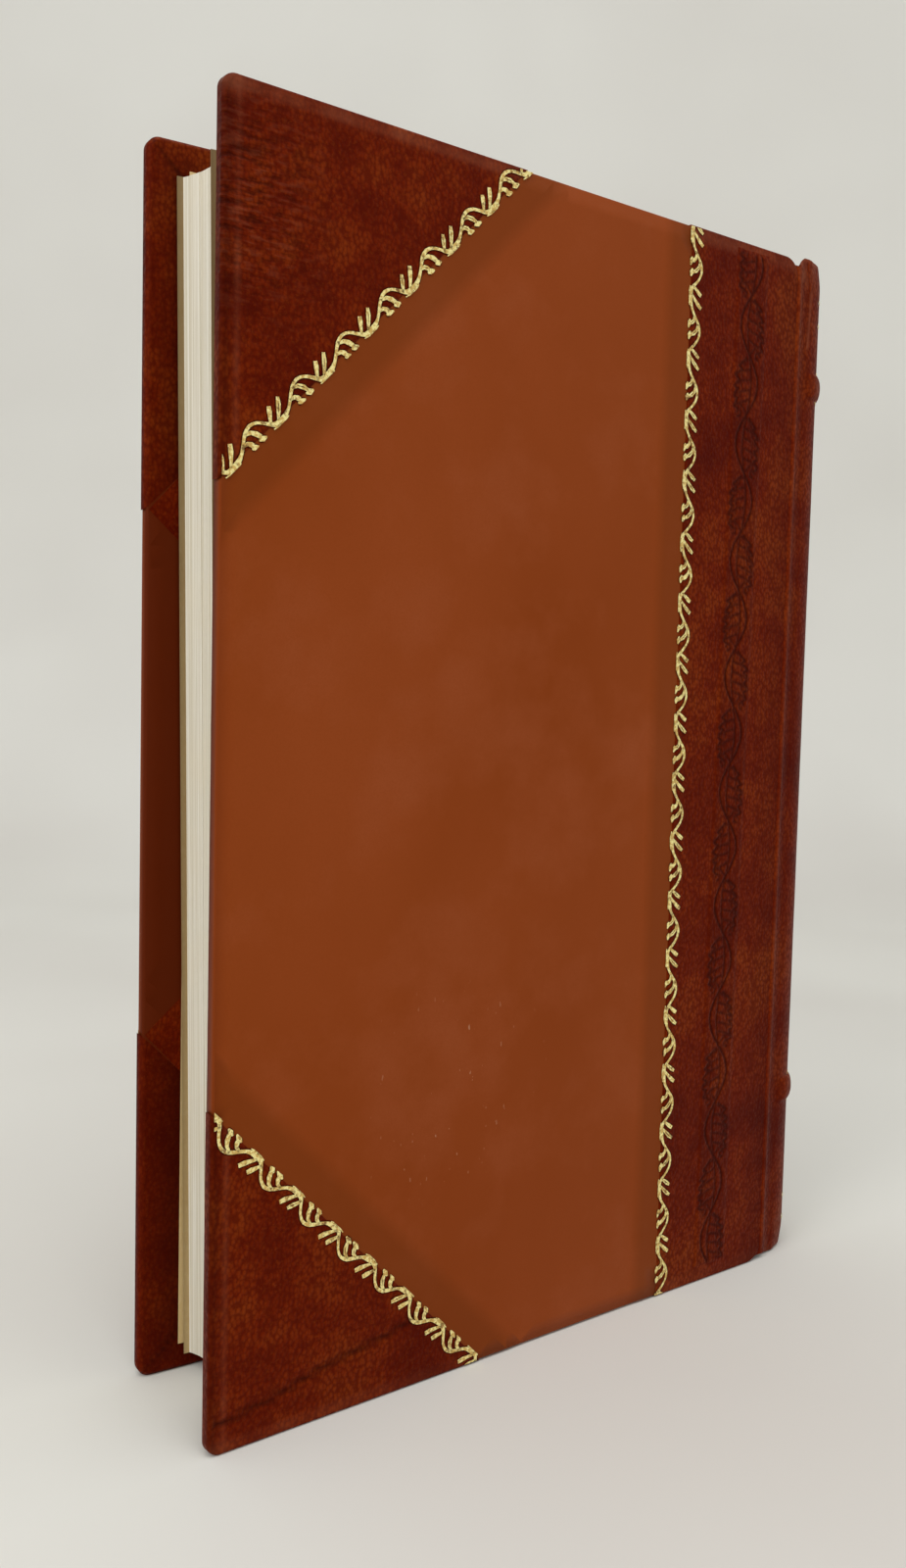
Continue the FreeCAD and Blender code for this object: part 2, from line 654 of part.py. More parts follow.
def make_text_block():
    """The sewn pages as one solid, sagging a little towards the fore edge."""
    body = new_body("text_block", place_in_book)
    hollow = "Sizes.fore_edge_hollow"
    radius = "((" + HALF_PAGES + " ^ 2 + " + hollow + " ^ 2) / (2 * " + hollow + "))"
    top = "(Sizes.pages_lift + Sizes.pages_height)"
    reaches = ("(Sizes.pages_reach - Sizes.pages_lean)", "Sizes.pages_reach")
    plans = []
    for name, offset, reach in zip(("tail_plan", "head_plan"), ("0", top), reaches):
        plan = new_sketch(body, name, "XY_Plane", offset)
        centre = "-(" + reach + " + " + radius + " - " + hollow + ")"
        draw_outline(plan, *block_plan(reach, centre))
        plans.append(plan)
    doc.recompute()
    loft = body.newObject("PartDesign::AdditiveLoft", "pages_loft")
    loft.Profile = plans[0]
    loft.Sections = [plans[1]]
    loft.Ruled = True
    body.Tip = loft
    fore = "-(Sizes.pages_reach + 1)"
    back = "(Sizes.back_centre + " + HALF_PAGES + " + 1)"
    start = "-(" + HALF_PAGES + " + 1)"
    through = "(Sizes.pages_thickness + 2)"
    head_wedge = [(fore, top + " - Sizes.pages_sag"), (back, top), (fore, top + " + 1")]
    tail_wedge = [
        (fore, "-1"),
        (back, "-1"),
        (back, "Sizes.pages_lift"),
        (fore, "Sizes.pages_lift - Sizes.pages_sag"),
    ]
    for name, wedge in (("head_trim", head_wedge), ("tail_trim", tail_wedge)):
        slab(body, name, wedge, start, through, cut=True)


def make_flyleaf(label, depth):
    """A free endpaper beside the pages, standing a little proud of the fore edge."""
    body = new_body(label, place_in_book)
    over = "Sizes.flyleaf_overhang"
    top = "(Sizes.pages_lift + Sizes.pages_height)"
    outline = [
        ("-(Sizes.pages_reach - Sizes.pages_lean + " + over + ")", "Sizes.pages_lift - Sizes.pages_sag"),
        ("Sizes.back_centre", "Sizes.pages_lift"),
        ("Sizes.back_centre", top),
        ("-(Sizes.pages_reach + " + over + ")", top + " - Sizes.pages_sag"),
    ]
    slab(body, label + "_outline", outline, depth, "Sizes.flyleaf_thickness")


def half_ring(inner, outer):
    """Plan of a half ring round the rounded back, open towards the fore edge."""
    centre = "Sizes.back_centre"
    corners = [
        (centre, "-" + outer),
        (centre, outer),
        (centre, inner),
        (centre, "-" + inner),
    ]
    return corners, {0: (centre, 1), 2: (centre, -1)}


def raise_plan(body, name, plan, level, height, cut=False):
    """Pad or cut a plan outline upwards from a level."""
    sketch = new_sketch(body, name, "XY_Plane", level)
    draw_outline(sketch, *plan)
    return pocket(body, sketch, height) if cut else pad(body, sketch, height)


def make_lining():
    """Cloth glued round the back of the pages."""
    body = new_body("spine_lining", place_in_book)
    level = "(Sizes.pages_lift + Sizes.lining_margin)"
    height = "(Sizes.pages_height - 2 * Sizes.lining_margin)"
    glued = "(" + HALF_PAGES + " + Sizes.lining_glue)"
    raise_plan(body, "lining_plan", half_ring(glued, LINING_FACE), level, height)


CARD_LEVEL = "(Sizes.spine_lift + Sizes.card_margin)"
CARD_HEIGHT = "(" + SPINE_TOP + " - Sizes.spine_lift - 2 * Sizes.card_margin)"


def make_spine_card():
    """Curved card that stiffens the spine leather."""
    body = new_body("spine_card", place_in_book)
    raise_plan(body, "card_plan", half_ring(CARD_BACK, CARD_FACE), CARD_LEVEL, CARD_HEIGHT)


def make_band(label, middle):
    """A strip glued across the spine card, under the leather."""
    body = new_body(label, place_in_book)
    level = "(" + middle + " - Sizes.band_width / 2)"
    raise_plan(body, label + "_plan", half_ring(CARD_FACE, BAND_FACE), level, "Sizes.band_width")


BANDS = {
    "head_band": "(Sizes.cover_height - Sizes.head_band_drop)",
    "tail_band": "Sizes.tail_band_level",
}


def spine_section():
    """Plan of the spine leather: rounded back with a hollow shoulder at each joint."""
    gap = "Sizes.joint_gap"
    outer_y = "(" + HALF_BOOK + " - Sizes.hinge_stand_off)"
    inner_y = "(" + outer_y + " - Sizes.spine_leather_thickness * 1.3)"
    centre = "Sizes.back_centre"
    corners = [
        (gap, "-" + outer_y),
        (centre, "-" + SPINE_FACE),
        (centre, SPINE_FACE),
        (gap, outer_y),
        (gap, inner_y),
        (centre, CARD_FACE),
        (centre, "-" + CARD_FACE),
        (gap, "-" + inner_y),
    ]
    arcs = {
        0: (centre, -1),
        1: (centre, 1),
        2: (centre, -1),
        4: (centre, 1),
        5: (centre, -1),
        6: (centre, 1),
    }
    return corners, arcs


def make_spine_leather():
    """Leather over the spine, moulded over the bands and turned in at head and tail."""
    body = new_body("spine_leather", place_in_book)
    lift = "Sizes.spine_lift"
    height = "(" + SPINE_TOP + " - " + lift + ")"
    raise_plan(body, "spine_section", spine_section(), lift, height)
    skin = "Sizes.spine_leather_thickness"
    swell = "(Sizes.band_width + 2 * " + skin + ")"
    for name, middle in BANDS.items():
        level = "(" + middle + " - " + swell + " / 2)"
        swollen = half_ring(CARD_FACE, "(" + SPINE_FACE + " + Sizes.band_proud)")
        raise_plan(body, name + "_swell", swollen, level, swell)
    levels = [value(middle) + turn * value(swell) / 2 for middle in BANDS.values() for turn in (-1, 1)]
    crown = value("Sizes.back_centre + " + SPINE_FACE)

    def on_band_rim(edge):
        box = edge.BoundBox
        flat = box.ZLength < 0.001 and any(abs(box.ZMin - level) < 0.001 for level in levels)
        return flat and box.XMax > crown + 0.5 * value("Sizes.band_proud")

    soften(body, "Sizes.band_bevel", on_band_rim, bevel=True)
    for name, middle in BANDS.items():
        level = "(" + middle + " - Sizes.band_width / 2)"
        hollow = half_ring(CARD_FACE, BAND_FACE)
        raise_plan(body, name + "_hollow", hollow, level, "Sizes.band_width", cut=True)
    ends = {
        "tail": (lift, lift),
        "head": ("(" + SPINE_TOP + " - " + skin + ")", "(" + SPINE_TOP + " - Sizes.spine_turn_in)"),
    }
    for name, (cap_level, turned_level) in ends.items():
        raise_plan(body, name + "_cap", half_ring(LINING_FACE, SPINE_FACE), cap_level, skin)
        turned = half_ring(LINING_FACE, CARD_BACK)
        raise_plan(body, name + "_turned_in", turned, turned_level, "Sizes.spine_turn_in")
    rims = [value(lift), value(SPINE_TOP)]

    def on_outer_rim(edge):
        box = edge.BoundBox
        flat = box.ZLength < 0.001 and any(abs(box.ZMin - level) < 0.001 for level in rims)
        return flat and box.XMax > crown - 0.01 and box.YLength > value(SPINE_FACE)

    soften(body, "Sizes.headcap_bevel", on_outer_rim, bevel=True)


def make_endband(label, level, up):
    """A rolled endband that lies on the pages, just inside the rounded back."""
    body = new_body(label, place_in_book)
    radius = "(Sizes.endband_diameter / 2)"
    path_radius = "(" + HALF_PAGES + " - Sizes.endband_inset)"
    sketch = new_sketch(body, label + "_section", "YZ_Plane", "Sizes.back_centre")
    height = "(" + level + (" + " if up else " - ") + radius + ")"
    section = []
    for number in range(ENDBAND_SIDES):
        angle = FULL_TURN * (number + 0.5) / ENDBAND_SIDES
        across = path_radius + " + " + radius + " * %.4f" % math.cos(angle)
        above = height + " + " + radius + " * %.4f" % math.sin(angle)
        section.append((across, above))
    draw_outline(sketch, section)
    doc.recompute()
    turned = body.newObject("PartDesign::Revolution", label + "_round")
    turned.Profile = sketch
    turned.ReferenceAxis = (sketch, ["V_Axis"])
    turned.Angle = 180
    turned.Reversed = True
    body.Tip = turned
    doc.recompute()
    if body.Tip.Shape.BoundBox.XMin < value("Sizes.back_centre") - 0.01:
        turned.Reversed = False


def make_gold_lines():
    """Gold lines across the spine beside each band and in a pair at head and tail."""
    beside = "(Sizes.band_width / 2 + Sizes.spine_leather_thickness + Sizes.fillet_offset)"
    middles = [
        "Sizes.outer_fillet",
        "Sizes.inner_fillet",
        "Sizes.cover_height - Sizes.inner_fillet",
        "Sizes.cover_height - Sizes.outer_fillet",
    ]
    for middle in BANDS.values():
        middles.append(middle + " - " + beside)
        middles.append(middle + " + " + beside)
    lines = []
    for index, middle in enumerate(middles, start=1):
        rings = []
        for kind, extra in (("outer", " + Sizes.gold_thickness"), ("inner", "")):
            ring = doc.addObject("Part::Cylinder", "gold_line_%d_%s" % (index, kind))
            turned = FreeCAD.Rotation(FreeCAD.Vector(0, 0, -1), value("Sizes.fillet_span / 2"))
            ring.Placement = FreeCAD.Placement(FreeCAD.Vector(), turned)
            ring.setExpression("Placement.Rotation.Angle", "Sizes.fillet_span / 2")
            ring.setExpression("Angle", "Sizes.fillet_span")
            ring.setExpression("Radius", SPINE_FACE + extra)
            ring.setExpression("Height", "Sizes.fillet_width")
            ring.setExpression("Placement.Base.x", "Sizes.back_centre")
            ring.setExpression("Placement.Base.z", middle + " - Sizes.fillet_width / 2")
            rings.append(ring)
        line = doc.addObject("Part::Cut", "gold_line_%d" % index)
        line.Base, line.Tool = rings
        lines.append(line)
    together = doc.addObject("Part::Compound", "gold_lines")
    together.Links = lines
    place_in_book(together)
    keep(together, "spine_gold_lines")


def make_spine():
    """Every sub-part of the spine and the text block."""
    top = "(Sizes.pages_lift + Sizes.pages_height)"
    make_text_block()
    make_flyleaf("front_flyleaf", "-(" + HALF_PAGES + " + Sizes.flyleaf_thickness)")
    make_flyleaf("back_flyleaf", HALF_PAGES)
    make_lining()
    make_spine_card()
    for name, middle in BANDS.items():
        make_band(name, middle)
    make_endband("head_endband", top, True)
    make_endband("tail_endband", "(Sizes.pages_lift - Sizes.endband_seat)", False)
    make_spine_leather()
    make_gold_lines()


def check_document():
    """Stop if any object failed or any sub-part has no sound solid."""
    doc.recompute()
    for item in doc.Objects:
        if "Invalid" in item.State or "Error" in item.State:
            raise RuntimeError(item.Name + " failed: " + ", ".join(item.State))
    for node in nodes:
        shape = node.Shape
        if shape.isNull() or not shape.isValid() or not shape.Solids:
            raise RuntimeError(node.Label + " has no sound solid")


def write_parts():
    """Write each sub-part to its own file."""
    os.makedirs(PARTS_FOLDER, exist_ok=True)
    for node in nodes:
        node.Shape.exportStep(os.path.join(PARTS_FOLDER, node.Label + ".step"))


make_spine()
make_cover(
    "back", "tail", "head", "Sizes.back_tail_corner", "Sizes.back_head_corner", place_on_back
)
make_cover(
    "front", "head", "tail", "Sizes.front_head_corner", "Sizes.front_tail_corner", place_on_front
)
check_document()
write_parts()

box = FreeCAD.BoundBox()
for node in nodes:
    box.add(node.Shape.BoundBox)
    print(node.Label, "solids", len(node.Shape.Solids), "volume", round(node.Shape.Volume, 1))
print("size", round(box.XLength, 2), round(box.YLength, 2), round(box.ZLength, 2))
print("centre", round(box.Center.x, 3), round(box.Center.y, 3), "base", round(box.ZMin, 3))
print("hinge lines at X", round(value(HINGE_X), 3))
print("back hinge Y", round(value(MIDDLE_Y + " - " + HALF_BOOK), 3))
print("front hinge Y", round(value(MIDDLE_Y + " + " + HALF_BOOK), 3))
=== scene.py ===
"""Looks of the half leather book: leather, siding, tooling, pages and the studio around it."""

import logging
import math
import random
from dataclasses import dataclass, field
from enum import Enum
from typing import Iterable, Sequence

import bmesh
import bpy
import numpy as np
from mathutils import Matrix, Vector, noise


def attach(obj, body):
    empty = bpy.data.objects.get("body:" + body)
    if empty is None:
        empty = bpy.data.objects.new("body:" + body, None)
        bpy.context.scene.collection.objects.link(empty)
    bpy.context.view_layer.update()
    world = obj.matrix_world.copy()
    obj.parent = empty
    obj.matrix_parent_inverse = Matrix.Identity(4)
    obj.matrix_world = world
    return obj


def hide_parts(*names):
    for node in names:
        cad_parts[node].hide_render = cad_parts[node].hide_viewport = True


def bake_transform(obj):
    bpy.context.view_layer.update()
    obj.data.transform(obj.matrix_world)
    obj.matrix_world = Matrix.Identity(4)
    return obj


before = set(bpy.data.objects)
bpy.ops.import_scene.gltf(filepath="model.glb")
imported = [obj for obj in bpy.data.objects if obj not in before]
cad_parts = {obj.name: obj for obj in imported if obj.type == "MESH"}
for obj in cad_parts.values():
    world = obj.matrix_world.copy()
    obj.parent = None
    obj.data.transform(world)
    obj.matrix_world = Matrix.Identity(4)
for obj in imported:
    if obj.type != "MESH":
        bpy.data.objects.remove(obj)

LOG = logging.getLogger("half_leather_book")
MM = 0.001
COVER_HEIGHT = 239.0
COVER_REACH = 151.0
HINGE_X = 67.775
MIDDLE_Y = 6.712
BACK_FACE = -4.988
FRONT_FACE = 18.412
OPEN_ANGLE = math.radians(5.1)

Colour = tuple[float, float, float, float]
Triple = tuple[float, float, float]
Socket = bpy.types.NodeSocket
Shape = bmesh.types.BMesh
Point = tuple[float, float]
Polyline = Sequence[Point]
Stroke = tuple[Point, Point, float]


def paint(red: int, green: int, blue: int) -> Colour:
    """Turn a screen colour into the shader's linear colour.

    Args:
        red: Red from 0 to 255.
        green: Green from 0 to 255.
        blue: Blue from 0 to 255.

    Returns:
        The linear colour with full alpha.
    """
    shares = [channel / 255.0 for channel in (red, green, blue)]
    linear = [s / 12.92 if s <= 0.04045 else ((s + 0.055) / 1.055) ** 2.4 for s in shares]
    return (linear[0], linear[1], linear[2], 1.0)


def ease(share: float) -> float:
    """Smooth step from 0 to 1."""
    held = min(1.0, max(0.0, share))
    return held * held * (3.0 - 2.0 * held)


def steps(low: float, high: float, spacing: float) -> list[float]:
    """Even levels strictly between two ends."""
    count = max(1, round((high - low) / spacing))
    return [low + (high - low) * index / count for index in range(1, count)]


def whole(shape: Shape) -> list:
    """Every vertex, edge and face of a mesh."""
    return shape.verts[:] + shape.edges[:] + shape.faces[:]


def only(kind: type, geometry: Iterable) -> list:
    """Items of one kind among a mesh operator's results."""
    return [item for item in geometry if isinstance(item, kind)]


def layers(shape: Shape, *names: str) -> list:
    """New float layers on a mesh's vertices."""
    return [shape.verts.layers.float.new(name) for name in names]


def cut_net(shape: Shape, origin: Vector, way: Vector, levels: Iterable[float]) -> None:
    """Cut a mesh by parallel planes and keep both sides.

    Args:
        shape: The mesh.
        origin: Point that the levels are counted from.
        way: Unit direction across the planes.
        levels: Distances along the direction, in the mesh's own unit.
    """
    for level in levels:
        bmesh.ops.bisect_plane(shape, geom=whole(shape), dist=1e-7, plane_co=origin + way * level, plane_no=way)


def cut_off(shape: Shape, spot: Triple, way: Triple, near: float) -> None:
    """Cut a closed mesh off at a plane and close it again.

    Args:
        shape: The mesh.
        spot: A point on the plane.
        way: Direction of the side that goes.
        near: Distance at which a vertex counts as on the plane.
    """
    cut = bmesh.ops.bisect_plane(shape, geom=whole(shape), dist=near, plane_co=spot, plane_no=way, clear_outer=True)
    rim = [edge for edge in only(bmesh.types.BMEdge, cut["geom_cut"]) if edge.is_boundary]
    if rim:
        bmesh.ops.holes_fill(shape, edges=rim, sides=0)


def face_out(shape: Shape, axis: int) -> None:
    """Make an open sheet's faces agree and look along an axis.

    Args:
        shape: The mesh.
        axis: 0 for x, 2 for z.
    """
    bmesh.ops.recalc_face_normals(shape, faces=shape.faces)
    if sum(face.normal[axis] * face.calc_area() for face in shape.faces) < 0.0:
        bmesh.ops.reverse_faces(shape, faces=shape.faces)


def extruded(shape: Shape, faces: list, shift: Triple) -> list:
    """Extrude faces and move their copies, with the first faces kept.

    Args:
        shape: The mesh.
        faces: The faces.
        shift: How far the copies move.

    Returns:
        The moved faces.
    """
    grown = bmesh.ops.extrude_face_region(shape, geom=faces, use_keep_orig=True)["geom"]
    bmesh.ops.translate(shape, vec=shift, verts=only(bmesh.types.BMVert, grown))
    return only(bmesh.types.BMFace, grown)


def linked(name: str, data: bpy.types.ID) -> bpy.types.Object:
    """New object in the scene's collection."""
    made = bpy.data.objects.new(name, data)
    bpy.context.scene.collection.objects.link(made)
    return made


class Body(str, Enum):
    """Bodies of the frame that a piece can ride on."""

    BLOCK = "book_block"
    BACK = "back_cover"
    FRONT = "front_cover"


class Slot(str, Enum):
    """Material slots of the record."""

    LEATHER = "leather"
    SIDING = "siding"
    CARD = "card"
    PAGES = "pages"
    ENDPAPER = "endpaper"
    MULL = "mull"
    ENDBAND = "endband"
    GOLD = "gold"


class Skin:
    """One material's node tree, written from the pattern's place to the surface."""

    def __init__(self, name: str) -> None:
        """Start a material with a Principled surface.

        Args:
            name: The material's name.
        """
        self.material = bpy.data.materials.new(name)
        self.material.use_nodes = True
        self.tree = self.material.node_tree
        self.surface = self.tree.nodes["Principled BSDF"]
        self.place = self.tree.nodes.new("ShaderNodeTexCoord").outputs["Object"]

    def node(self, kind: str, inputs: dict | None = None, **settings: object) -> bpy.types.Node:
        """Add a node.

        Args:
            kind: The node type's name.
            inputs: Sockets by name, each with a plain value or a socket to link.
            **settings: The node's own settings.

        Returns:
            The new node.
        """
        made = self.tree.nodes.new(kind)
        for name, setting in settings.items():
            setattr(made, name, setting)
        for name, given in (inputs or {}).items():
            self.feed(made.inputs[name], given)
        return made

    def feed(self, socket: Socket, given: object) -> None:
        """Link a socket or set its value.

        Args:
            socket: The input socket.
            given: Another node's output, or a plain value.
        """
        if isinstance(given, Socket):
            self.tree.links.new(given, socket)
        else:
            socket.default_value = given

    def stretched(self, scale: Triple, turn: Triple = (0.0, 0.0, 0.0)) -> Socket:
        """Object place scaled per axis, for patterns with a direction.

        Args:
            scale: Scale along each axis.
            turn: Rotation in radians.

        Returns:
            The mapped place's socket.
        """
        mapping = self.node("ShaderNodeMapping", {"Vector": self.place, "Scale": scale, "Rotation": turn})
        return mapping.outputs["Vector"]

    def clouds(self, size: float, detail: float = 3.0, rough: float = 0.5, place: Socket | None = None) -> Socket:
        """Noise with features of a given size.

        Args:
            size: Feature size in millimetres.
            detail: Octaves.
            rough: Share that each finer octave keeps.
            place: Where the noise is read, the object's place if not given.

        Returns:
            The noise's value socket.
        """
        source = place or self.place
        sockets = {"Vector": source, "Scale": 1.0 / (size * MM), "Detail": detail, "Roughness": rough}
        return self.node("ShaderNodeTexNoise", sockets).outputs["Fac"]

    def pebbles(self, size: float, place: Socket) -> Socket:
        """Cells of a given size, for grain.

        Args:
            size: Cell size in millimetres.
            place: Where the cells are read.

        Returns:
            The distance socket.
        """
        return self.node("ShaderNodeTexVoronoi", {"Vector": place, "Scale": 1.0 / (size * MM)}).outputs["Distance"]

    def remap(self, socket: Socket, low: float, high: float, to_low: float = 0.0, to_high: float = 1.0) -> Socket:
        """Clamped change of range.

        Args:
            socket: The value.
            low: Value that gives to_low.
            high: Value that gives to_high.
            to_low: Result at low.
            to_high: Result at high.

        Returns:
            The result socket.
        """
        limits = {"Value": socket, "From Min": low, "From Max": high, "To Min": to_low, "To Max": to_high}
        return self.node("ShaderNodeMapRange", limits).outputs["Result"]

    def sum(self, first: Socket | float, second: Socket | float, operation: str = "ADD") -> Socket:
        """Combine two values.

        Args:
            first: A socket or number.
            second: A socket or number.
            operation: The Math node's operation.

        Returns:
            The value socket.
        """
        made = self.node("ShaderNodeMath", operation=operation)
        self.feed(made.inputs[0], first)
        self.feed(made.inputs[1], second)
        return made.outputs[0]

    def mix(self, share: Socket | float, first: Socket | Colour, second: Socket | Colour) -> Socket:
        """Mix two colours.

        Args:
            share: Share of the second colour.
            first: First colour or socket.
            second: Second colour or socket.

        Returns:
            The colour socket.
        """
        made = self.node("ShaderNodeMix", data_type="RGBA")
        self.feed(made.inputs["Factor"], share)
        self.feed(made.inputs["A"], first)
        self.feed(made.inputs["B"], second)
        return made.outputs["Result"]

    def tint(self, base: Socket | Colour, pattern: Socket, low: float, high: float, colour: Colour,
             most: float = 1.0) -> Socket:
        """Lay a colour over a base where a pattern is strong.

        Args:
            base: The colour under it.
            pattern: The value that says where.
            low: Value that shows none of the colour.
            high: Value that shows the most of it.
            colour: The colour.
            most: Its greatest share.

        Returns:
            The colour socket.
        """
        return self.mix(self.remap(pattern, low, high, 0.0, most), base, colour)

    def attribute(self, name: str) -> Socket:
        """Value of a mesh attribute, 0 where a mesh has none."""
        return self.node("ShaderNodeAttribute", attribute_name=name).outputs["Fac"]

    def raise_by(self, height: Socket, distance: float, strength: float = 1.0, under: Socket | None = None) -> Socket:
        """Bump of a height.

        Args:
            height: Height socket from 0 to 1.
            distance: Real height in millimetres.
            strength: Share of the effect.
            under: A normal that this bump lies on.

        Returns:
            The normal socket.
        """
        sockets = {"Height": height, "Distance": distance * MM, "Strength": strength}
        if under is not None:
            sockets["Normal"] = under
        return self.node("ShaderNodeBump", sockets).outputs["Normal"]

    def finish(self, **sockets: object) -> bpy.types.Material:
        """Set the surface's sockets.

        Args:
            **sockets: Socket names with underscores for spaces.

        Returns:
            The finished material.
        """
        for name, given in sockets.items():
            self.feed(self.surface.inputs[name.replace("_", " ")], given)
        return self.material


@dataclass(frozen=True)
class LeatherFinish:
    """Russet calf with a pebbled grain, mottled by hand, paler along its edges from wear and painted highlight, and
    darkened with painted shade.
    """

    name: str = "russet_leather"
    deep: Colour = paint(76, 9, 0)
    middle: Colour = paint(108, 29, 2)
    warm: Colour = paint(136, 58, 14)
    # Pale colour for wear and for painted highlight on edges, band crests, the joint ridges and fold ridges.
    rubbed_and_highlighted: Colour = paint(140, 76, 52)
    # Deep brown for painted shade in creases, inside the cover and by the joint, and for the hot tool's burn round the
    # gold.
    shade_and_burn: Colour = paint(40, 3, 0)
    sheen: Colour = paint(255, 176, 140)
    grain_size: float = 0.78
    grain_height: float = 0.07
    gloss: float = 0.44

    def make(self) -> bpy.types.Material:
        """Make the leather material.

        Returns:
            The material.
        """
        skin = Skin(self.name)
        stretch = skin.stretched((1.0, 1.0, 0.72))
        cells = skin.pebbles(self.grain_size, stretch)
        fine = skin.clouds(0.45, 2.0)
        grain = skin.sum(skin.remap(cells, 0.1, 0.75), skin.sum(fine, 0.7, "MULTIPLY"), "ADD")
        cloud = skin.clouds(26.0, 5.0, 0.55)
        patch = skin.clouds(7.0, 4.0, 0.6)
        tone = skin.sum(skin.sum(cloud, 0.62, "MULTIPLY"), skin.sum(patch, 0.38, "MULTIPLY"))
        base = skin.tint(self.deep, tone, 0.36, 0.52, self.middle)
        base = skin.tint(base, tone, 0.5, 0.68, self.warm, 0.8)
        base = skin.tint(base, grain, 0.55, 1.25, self.deep, 0.7)
        base = skin.tint(base, skin.clouds(0.7, 3.0, 0.7), 0.52, 0.7, self.warm, 0.25)
        folds = skin.clouds(1.05, 2.0, 0.5, skin.stretched((0.24, 0.24, 1.0)))
        creased = skin.attribute("creased")
        # Painted shade in the wrinkles' hollows and painted highlight on their ridges, near the head and the fore edge.
        for low, high, most, colour in ((0.5, 0.62, 0.6, self.shade_and_burn), (0.46, 0.36, 0.22, self.rubbed_and_highlighted)):
            share = skin.sum(skin.remap(folds, low, high, 0.0, most), creased, "MULTIPLY")
            base = skin.mix(share, base, colour)
        # Paler where the mesh marks wear and painted highlight.
        wear_and_highlight = skin.sum(skin.attribute("wear_and_highlight"), skin.remap(patch, 0.3, 0.7, 0.45, 1.2), "MULTIPLY")
        base = skin.tint(base, wear_and_highlight, 0.0, 1.0, self.rubbed_and_highlighted, 0.7)
        # Painted shade: darkens the leather where the mesh's shade mask says.
        base = skin.tint(base, skin.attribute("painted_shade"), 0.0, 1.0, self.shade_and_burn, 0.85)
        rough = skin.remap(grain, 0.3, 1.4, self.gloss - 0.05, self.gloss + 0.14)
        slow = skin.raise_by(skin.clouds(3.0, 3.0), 0.09, 0.8)
        folded = skin.raise_by(skin.sum(folds, creased, "MULTIPLY"), -0.5, 1.0, slow)
        bump = skin.raise_by(grain, -self.grain_height, 0.9, folded)
        return skin.finish(Base_Color=base, Roughness=rough, Normal=bump, Specular_IOR_Level=0.07,
                           Specular_Tint=self.sheen)


@dataclass(frozen=True)
class SidingFinish:
    """Smooth tan cloth on the sides, a little clouded by handling."""

    name: str = "tan_siding"
    base: Colour = paint(142, 66, 27)
    pale: Colour = paint(150, 76, 42)
    shade: Colour = paint(132, 58, 16)
    # Deep brown for painted shade on the cloth inside the cover and at its fore edge.
    edge: Colour = paint(84, 26, 4)
    lap: Colour = paint(112, 50, 12)
    scratch: Colour = paint(196, 150, 116)
    sheen: Colour = paint(255, 190, 160)
    gloss: float = 0.5

    def make(self) -> bpy.types.Material:
        """Make the siding material.

        Returns:
            The material.
        """
        skin = Skin(self.name)
        cloud = skin.clouds(60.0, 4.0, 0.5, skin.stretched((1.0, 1.0, 0.6)))
        colour = skin.tint(self.shade, cloud, 0.35, 0.65, self.base)
        colour = skin.tint(colour, skin.clouds(22.0, 5.0, 0.6), 0.48, 0.75, self.pale, 0.6)
        weave = skin.clouds(0.35, 2.0, 0.6)
        colour = skin.tint(colour, weave, 0.4, 0.7, self.shade, 0.35)
        # Paler where the mesh marks wear and painted highlight.
        colour = skin.tint(colour, skin.attribute("wear_and_highlight"), 0.0, 1.0, self.pale, 0.6)
        colour = skin.tint(colour, skin.attribute("lapped"), 0.0, 1.0, self.lap)
        marks = skin.clouds(0.9, 2.0, 0.6, skin.stretched((1.0, 1.0, 0.35), (0.0, 0.6, 0.0)))
        scratched = skin.sum(skin.remap(marks, 0.71, 0.73, 0.0, 0.6), skin.attribute("scuffed"), "MULTIPLY")
        colour = skin.mix(scratched, colour, self.scratch)
        # Painted shade where the mesh marks it.
        colour = skin.tint(colour, skin.attribute("painted_shade"), 0.0, 1.0, self.edge, 0.95)
        slow = skin.raise_by(skin.clouds(9.0, 2.0), 0.1, 0.5)
        bump = skin.raise_by(weave, 0.012, 0.5, slow)
        rough = skin.remap(cloud, 0.3, 0.7, self.gloss - 0.04, self.gloss + 0.05)
        return skin.finish(Base_Color=colour, Roughness=rough, Normal=bump, Specular_IOR_Level=0.1,
                           Specular_Tint=self.sheen)


@dataclass(frozen=True)
class GoldFinish:
    """Gold leaf pressed into the leather, laid thinly in places, with painted glints and painted shade in its colour.
    """

    name: str = "tooled_gold"
    painted_glint: Colour = paint(255, 240, 162)
    soft: Colour = paint(214, 178, 98)
    thin: Colour = paint(112, 70, 20)

    def make(self) -> bpy.types.Material:
        """Make the gold material.

        Returns:
            The material.
        """
        skin = Skin(self.name)
        patch = skin.clouds(1.1, 4.0, 0.7)
        # Painted glints: specks of the palest gold stand for sparkle.
        sheen = skin.tint(self.soft, skin.clouds(0.7, 2.0), 0.42, 0.56, self.painted_glint)
        # Brown patches: thinly laid leaf letting the leather through, and painted shade.
        colour = skin.tint(sheen, patch, 0.54, 0.66, self.thin, 0.9)
        metal = skin.remap(patch, 0.55, 0.68, 0.4, 0.1)
        bump = skin.raise_by(skin.clouds(0.9, 3.0), 0.22, 1.0)
        rough = skin.remap(patch, 0.4, 0.7, 0.26, 0.5)
        return skin.finish(Base_Color=colour, Metallic=metal, Roughness=rough, Normal=bump)


